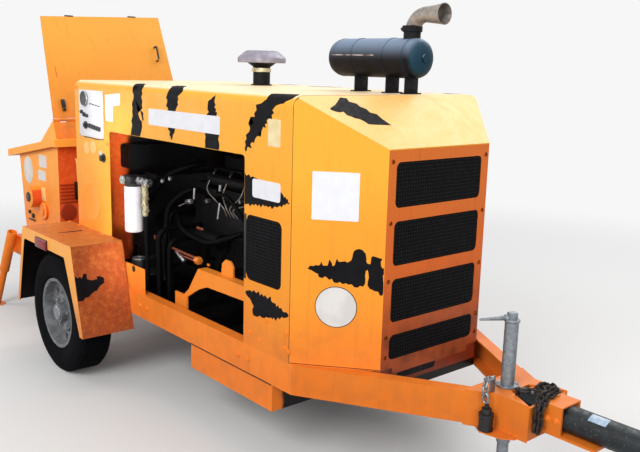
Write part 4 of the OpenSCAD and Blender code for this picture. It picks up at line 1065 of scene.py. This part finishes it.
def chains():
    """Safety chains heaped on the tongue's head, and the wiring plug with its short chain."""
    for name, path, origin, lug, finish in (
        ("safety_chain", HEAP_CHAIN, (1847, 0, BAR_Z), "1767,-84,551 1779,-60,583 3", chain_steel),
        ("safety_chain_2", SECOND_CHAIN, (1838, 0, BAR_Z), "1790,20,551 1802,44,575 3",
            chain_steel),
        ("plug_chain", PLUG_CHAIN, (1688, -147.6, 551), "1684,-143.6,551 1694,-113.6,617 3",
            bright_chain),
    ):
        chain = add_blocks(bmesh.new(), lug)
        ends = [Vector(origin) + Vector(p) for p in points(path)]
        for i, (start, end) in enumerate(zip(ends, ends[1:])):
            join(chain, chain_link(start, end, i % 2))
        finish_piece(name, chain, finish, replaces=["safety_chains"])
    plug = "0,0 0,28 3,31 12,31 14,29 58,29 60,31 72,31 73,22 93,20 94,9 109,9 109,0"
    finish_piece("wiring_plug", turned(plug, (1705, -176.6, 405), steps=36), black_plastic,
        slot="rubber_hose", replaces=["trailer_plug"])


def drawbar_details():
    """Painted glare on the drawbar's top, the lip of the head's bottom plate, and the strap's
    bolts.
    """
    patch = turned("2066,54.3 2072,55 2128,55 2140,54.3", axis=FORWARD, steps=12, angle=44)
    middle = sum((v.co for v in patch.verts), Vector()) / len(patch.verts)
    wanted = math.radians(112)
    turn = Matrix.Rotation(wanted - math.atan2(middle.z, middle.y), 4, "X")
    place = Matrix.Translation((0, 0, BAR_Z)) @ turn
    bmesh.ops.transform(patch, matrix=place, verts=patch.verts)
    finish_piece("drawbar_glare_patch", patch, glare_blue)
    lip = "1641,-150 1652,-176 1696,-204 1786,-186 1826,-150 1836,-84 1822,-70 1760,-80 1641,-90"
    finish_piece("head_lip", lay_flat([lip], on_head_plate, 5.5), tongue_enamel)
    bolts = bolt((1911, -65, BAR_Z), RIGHT)
    join(bolts, bolt((1953, -65, BAR_Z), RIGHT))
    finish_piece("drawbar_bolts", bolts, frame_enamel)


def guard_block(low, high, bevel=0.0):
    """Block whose axes are the guard's own: across, up and outwards."""
    part = block(low, high, bevel)
    for vert in part.verts:
        vert.co = on_guard(*vert.co)
    bmesh.ops.recalc_face_normals(part, faces=part.faces[:])
    return part


def guard_details():
    """Black handle, latch and edge clips of the splash guard, and a scratch in its paint."""
    grip = points("434,0 434,22 437,31 445,34 528,34 536,31 539,22 539,0")
    black = swept([on_guard(378, v, lift) for v, lift in grip], 6.8, 16, 4)
    join(black, guard_block((-423, 84, -1.2), (-397, 141, 19), 5),
        guard_block((-421, 59, -1.2), (-399, 90, 17.6), 3))
    for low_u, high_u, top in ((-278, -216, 753.6), (209, 271, 776.4)):
        join(black, guard_block((low_u, top - 10, -6.8), (high_u, top, 2.2), 1))
    finish_piece("guard_fittings", black, black_plastic, "splash_guard")
    crack = "-420,300 -417,330 -419,352 -416,380 -414,380 -415,352 -413,330 -417,300"
    crack = lay_flat([crack], on_guard, 0.4, False)
    finish_piece("guard_scratches", crack, bulkhead_enamel_painted_shade, "splash_guard")


def hopper_details():
    """Hinge pin, ribs, grease fittings and boxes at the hopper's front and right side."""
    pin = rod((HINGE_X, -446, HINGE_Z), (HINGE_X, 446, HINGE_Z), 7.5, bevel=1)
    finish_piece("guard_hinge_pin", pin, guard_enamel)
    ribs = bmesh.new()
    for z in range(862, 983, 24):
        join(ribs, block((-1680.5, -494, z), (-1668, -366, z + 10), 3))
    join(ribs, turned("0,0 0,56 5,58 10,54 11,20 11,0", (-1680, -440, 796), FORWARD, 40))
    finish_piece("hopper_ribs", ribs, rib_enamel_painted_shade)
    black = add_blocks(bmesh.new(),
        "-2230,-512,800 -2108,-500,822 4", "-2236,-508,664 -2120,-500,676 2",
        "-1680,-392,880 -1662,-374,1004 3", "-1680,-360,900 -1662,-346,986 3")
    add_rods(black,
        "-2150,-500,830 -2150,-520,830 20,24,3", "-2212,-500,724 -2212,-514,724 13,24,2",
        "-2150,-500,704 -2150,-514,704 17,24,2", "-2050,-569,862 -2050,-577,862 34,24,2")
    finish_piece("hopper_fittings", black, black_plastic)
    finish_piece("hopper_marker", block((-1980, -506, 842), (-1912, -499.5, 936), 3), faded_plate)
    boss = turned("0,0 0,62 14,62 18,56 18,30 26,28 26,0", (-1940, -500, 770), RIGHT, 40)
    finish_piece("hopper_boss", boss, hopper_enamel_painted_shade)
    tube = "-1682,-374,1160 -1662,-375,1130 -1656,-377,1060 -1658,-372,1000 -1664,-366,960"
    finish_piece("grease_tube", swept(tube, 5), faded_plate)


def bay_shade_sheets():
    """Black sheets as painted shade: behind the drip tray, under the bulkhead, and behind the
    nose's slot.
    """
    shade_sheets = block((-716, -523, RAIL_LOW), (-712, -145, RAIL_TOP))
    join(shade_sheets, block((-1184, -523, RAIL_LOW), (-1180, -202, RAIL_TOP - 1)))
    mirrored(add_blocks(shade_sheets, "-1176,-216,470 -1160,-186,640 0"))
    add_blocks(shade_sheets, "1204,-186,476 1207.7,74,528 0")
    join(shade_sheets, block((-716, -144.5, RAIL_LOW), (-712, 144.5, RAIL_TOP)))
    finish_piece("bay_shade_sheets", shade_sheets, hose_rubber, slot="black_paint")


# Hoses in the engine bay, each with its radius
BAY_HOSES = (
    (14, "-300,-214,1100 -330,-300,1120 -420,-380,1020 -430,-400,860 -420,-420,700 -380,-440,600"),
    (11, "-100,-225,1050 -60,-300,1120 60,-320,1140 160,-300,1060 180,-240,960"),
    (16, "-420,-330,960 -300,-360,900 -120,-330,860 40,-330,900 120,-260,940"),
    (18, "-770,-300,1000 -640,-360,1060 -520,-330,1180 -420,-250,1240 -380,-160,1260"),
    (12, "-60,-250,780 20,-340,720 180,-380,700 330,-340,760 360,-250,860"),
    (17, "-770,-250,900 -650,-330,860 -560,-340,760 -500,-330,640 -470,-330,420"),
    (22, "200,-230,1180 260,-300,1200 380,-330,1140 470,-280,1100 560,-200,1180 620,-180,1240"),
)


def engine_details():
    """Ribs, covers, pulleys and pipes on the engine, and fittings that catch the light."""
    iron = bmesh.new()
    for x in range(-300, 277, 72):
        join(iron, block((x, -174, 770), (x + 14, -168, 880), 2))
    for x in range(-240, 241, 160):
        join(iron, block((x - 55, -96, 1300), (x + 55, 96, 1312), 4))
        join(iron, rod((x, -140, 1210), (x, -190, 1235), 16, 16))
    add_rods(iron, "380,0,860 424,0,860 99,40,3", "360,-255,1090 392,-255,1090 44,32,3",
        "-450,-150,960 -430,-150,960 30,24,0")
    add_blocks(iron, "-330,-214,1090 -200,-130,1130 6", "-80,-230,900 120,-210,1010 8")
    finish_piece("engine_fittings", iron, cast_iron)
    rubber = join(bmesh.new(), *(swept(line, radius, 12, 7) for radius, line in BAY_HOSES))
    finish_piece("bay_hoses", rubber, hose_rubber)
    bright = add_rods(bmesh.new(),
        "-206,-395,1078 -154,-400,1090 15,6,2", "-290,-396,1042 -200,-396,1078 3,12,0",
        "-126,-400,1106 -117,-402,1167 6,12,2", "124,-400,1183 133,-402,1216 9,12,2",
        "106,-402,1034 124,-400,1121 6,12,2", "-306,-404,784 -222,-404,742 13,12,3",
        "-288,-500,1184 -280,-500,1200 11,6,2", "-208,-500,1206 -200,-500,1222 11,6,2",
        "-260,-212,1060 -260,-240,1060 14,6,2", "60,-212,1100 60,-236,1100 12,6,2")
    join(bright, turned("0,30 0,40 7,40 7,30", (-562, -500, 702), steps=32))
    finish_piece("bay_fittings", bright, bright_steel)
    valve = turned("0,0 0,44 58,44 60,40 60,0", (-562, -500, 643), steps=32)
    add_rods(valve, "-562,-500,600 -562,-500,646 16,24,0", "-562,-500,690 -562,-380,700 12,24,0")
    finish_piece("drain_valve", valve, black_plastic)
    red = add_rods(bmesh.new(),
        "-353,-412,798 -112,-402,783 7,16,1", "-300,-412,776 -130,-402,766 5,16,1")
    # The first block is a painted glint, a reflection drawn as a small red-brown bar
    add_blocks(red, "-98,-404,948 -36,-398,961 2", "-566,-404,806 -548,-398,830 2")
    finish_piece("control_rods", red, rod_paint)
    nut = rod((-104, -402, 774), (-66, -402, 774), 22, 6, 3)
    add_blocks(nut, "16,-412,766 36,-402,780 3")
    finish_piece("rod_nut", nut, tongue_enamel)
    pipes = bmesh.new()
    for i in range(4):
        pump, cylinder = -60 + 36 * i, -240 + 160 * i
        line = [(pump, -232, 1005), (pump, -262, 1060), (cylinder + 10, -250, 1130),
            (cylinder, -195, 1225)]
        join(pipes, swept(line, 3.2, 8, 5))
    finish_piece("fuel_pipes", pipes, exhaust_steel, slot="galvanised_steel")


def fender_details():
    """Rolled lips of the fenders, and the slot in the right one's top as a black sheet: painted
    shade.
    """
    lips = lay_flat([strip(-1307, -894, FENDER_FRONT, -888)], on_fender_top, 1.5)
    finish_piece("fender_lips", lips, fender_enamel_painted_shade)
    slot = "-1004,-800 -1000,-655 -986,-652 -978,-660 -984,-742 -996,-806"
    finish_piece("fender_slot_painted_shade", lay_flat([slot], on_fender_top, 0.5, False), black_paint)


def seen_by_eye(nodes):
    """One for rays that show a surface straight, in a mirror or through glass, zero for others."""
    rays = nodes.add("LightPath").outputs
    seen = nodes.compute("MAXIMUM", rays["Is Camera Ray"], rays["Is Glossy Ray"])
    return nodes.compute("MAXIMUM", seen, rays["Is Transmission Ray"])


def pale_floor():
    """Floor that fades into the surroundings away from the machine, and bounces as little light as
    asphalt."""
    grid = bmesh.new()
    bmesh.ops.create_grid(grid, x_segments=1, y_segments=1, size=60)
    mesh = bpy.data.meshes.new("floor")
    grid.to_mesh(mesh)
    grid.free()
    floor = bpy.data.objects.new("floor", mesh)
    bpy.context.scene.collection.objects.link(floor)
    asphalt, pale = "#5e5c5a", "#dddcda"
    coat = Coat("pale_floor", asphalt, 0.1, Roughness=0.9)
    seen = seen_by_eye(coat)
    coat.tint(seen, pale)
    coat.link(coat.tone, "Principled BSDF", "Base Color")
    away = coat.band(coat.vector("LENGTH", {}, {0: coat.place})["Value"], 2.6, 7.5)
    body = coat.tree.nodes["Principled BSDF"].outputs[0]
    glow = coat.add("Emission", {"Color": SURROUNDINGS, "Strength": 1.0}).outputs[0]
    fade = coat.add("MixShader", None, {0: coat.times(away, seen), 1: body, 2: glow})
    coat.link(fade.outputs[0], "Material Output", "Surface")
    mesh.materials.append(coat.material)


def pale_sky():
    """Surroundings that are white to the eye and a dimmer sky to the light that bounces."""
    world = bpy.data.worlds.new("studio")
    bpy.context.scene.world = world
    nodes = Nodes(world)
    sky = nodes.tree.nodes["Background"]
    sky.inputs["Color"].default_value = (0.92, 0.95, 1.0, 1)
    sky.inputs["Strength"].default_value = 0.45
    white = nodes.add("Background", {"Color": SURROUNDINGS, "Strength": 1.0}).outputs[0]
    mix = nodes.add("MixShader", None, {0: seen_by_eye(nodes), 1: sky.outputs[0], 2: white})
    nodes.link(mix.outputs[0], "World Output", "Surface")


def area_lamp(name, place, target, power, width, height=None, spread=180):
    """Square lamp, or a rectangle where a height is given, in metres, watts and degrees."""
    data = bpy.data.lights.new(name, "AREA")
    data.energy = power
    data.shape = "RECTANGLE" if height else "SQUARE"
    data.size = width
    if height:
        data.size_y = height
    data.spread = math.radians(spread)
    lamp = bpy.data.objects.new(name, data)
    bpy.context.scene.collection.objects.link(lamp)
    aim = (Vector(target) - Vector(place)).to_track_quat("-Z", "Y").to_matrix().to_4x4()
    lamp.matrix_world = Matrix.Translation(place) @ aim


def place_camera():
    data = bpy.data.cameras.new("camera")
    data.lens = CAMERA_LENS
    data.sensor_width = CAMERA_SENSOR
    data.sensor_fit = "HORIZONTAL"
    data.clip_end = 200
    camera = bpy.data.objects.new("camera", data)
    bpy.context.scene.collection.objects.link(camera)
    yaw, pitch, roll = (math.radians(a) for a in (CAMERA_YAW, CAMERA_PITCH, CAMERA_ROLL))
    level = math.cos(pitch)
    ahead = Vector((-math.sin(yaw) * level, math.cos(yaw) * level, -math.sin(pitch)))
    flat = ahead.cross(Vector(UP)).normalized()
    lifted = flat.cross(ahead)
    right = flat * math.cos(roll) + lifted * math.sin(roll)
    up = lifted * math.cos(roll) - flat * math.sin(roll)
    turn = Matrix((right, up, -ahead)).transposed().to_4x4()
    camera.matrix_world = Matrix.Translation(CAMERA_PLACE) @ turn
    bpy.context.scene.camera = camera


paint_stripes()
blank_plates()
sheet_bolts()
panel_seams()
meshes()
tyres()
wheel_fittings()
lamps()
control_panel()
oil_filter()
muffler()
rain_cap()
jack()
chains()
drawbar_details()
guard_details()
hopper_details()
bay_shade_sheets()
engine_details()
fender_details()
pale_floor()
pale_sky()
area_lamp("key_side", (2.6, -6.6, 5.0), (0.1, -0.4, 1.0), 455, 4.0)
area_lamp("roof_soft", (0.0, 1.5, 8.0), (0.0, 0, 1.0), 150, 5.0)
area_lamp("front_fill", (8.0, -4.0, 3.0), (0.4, 0, 0.9), 260, 4.0)
area_lamp("slope_sheen", (-0.07, 4.6, 5.4), (1.1, -0.2, 1.6), 190, 4.0)
area_lamp("hopper_fill", (-3.3, -2.4, 1.7), (-2.1, -0.5, 0.9), 16, 1.2)
# Tall narrow beam past the rear post onto the bulkhead's bare strip
area_lamp("bay_beam", (3.7, -2.95, 1.5), (-1.18, -0.29, 1.05), 1.25, 0.06, 1.0, 5)
place_camera()
bpy.context.scene.view_settings.view_transform = "Standard"
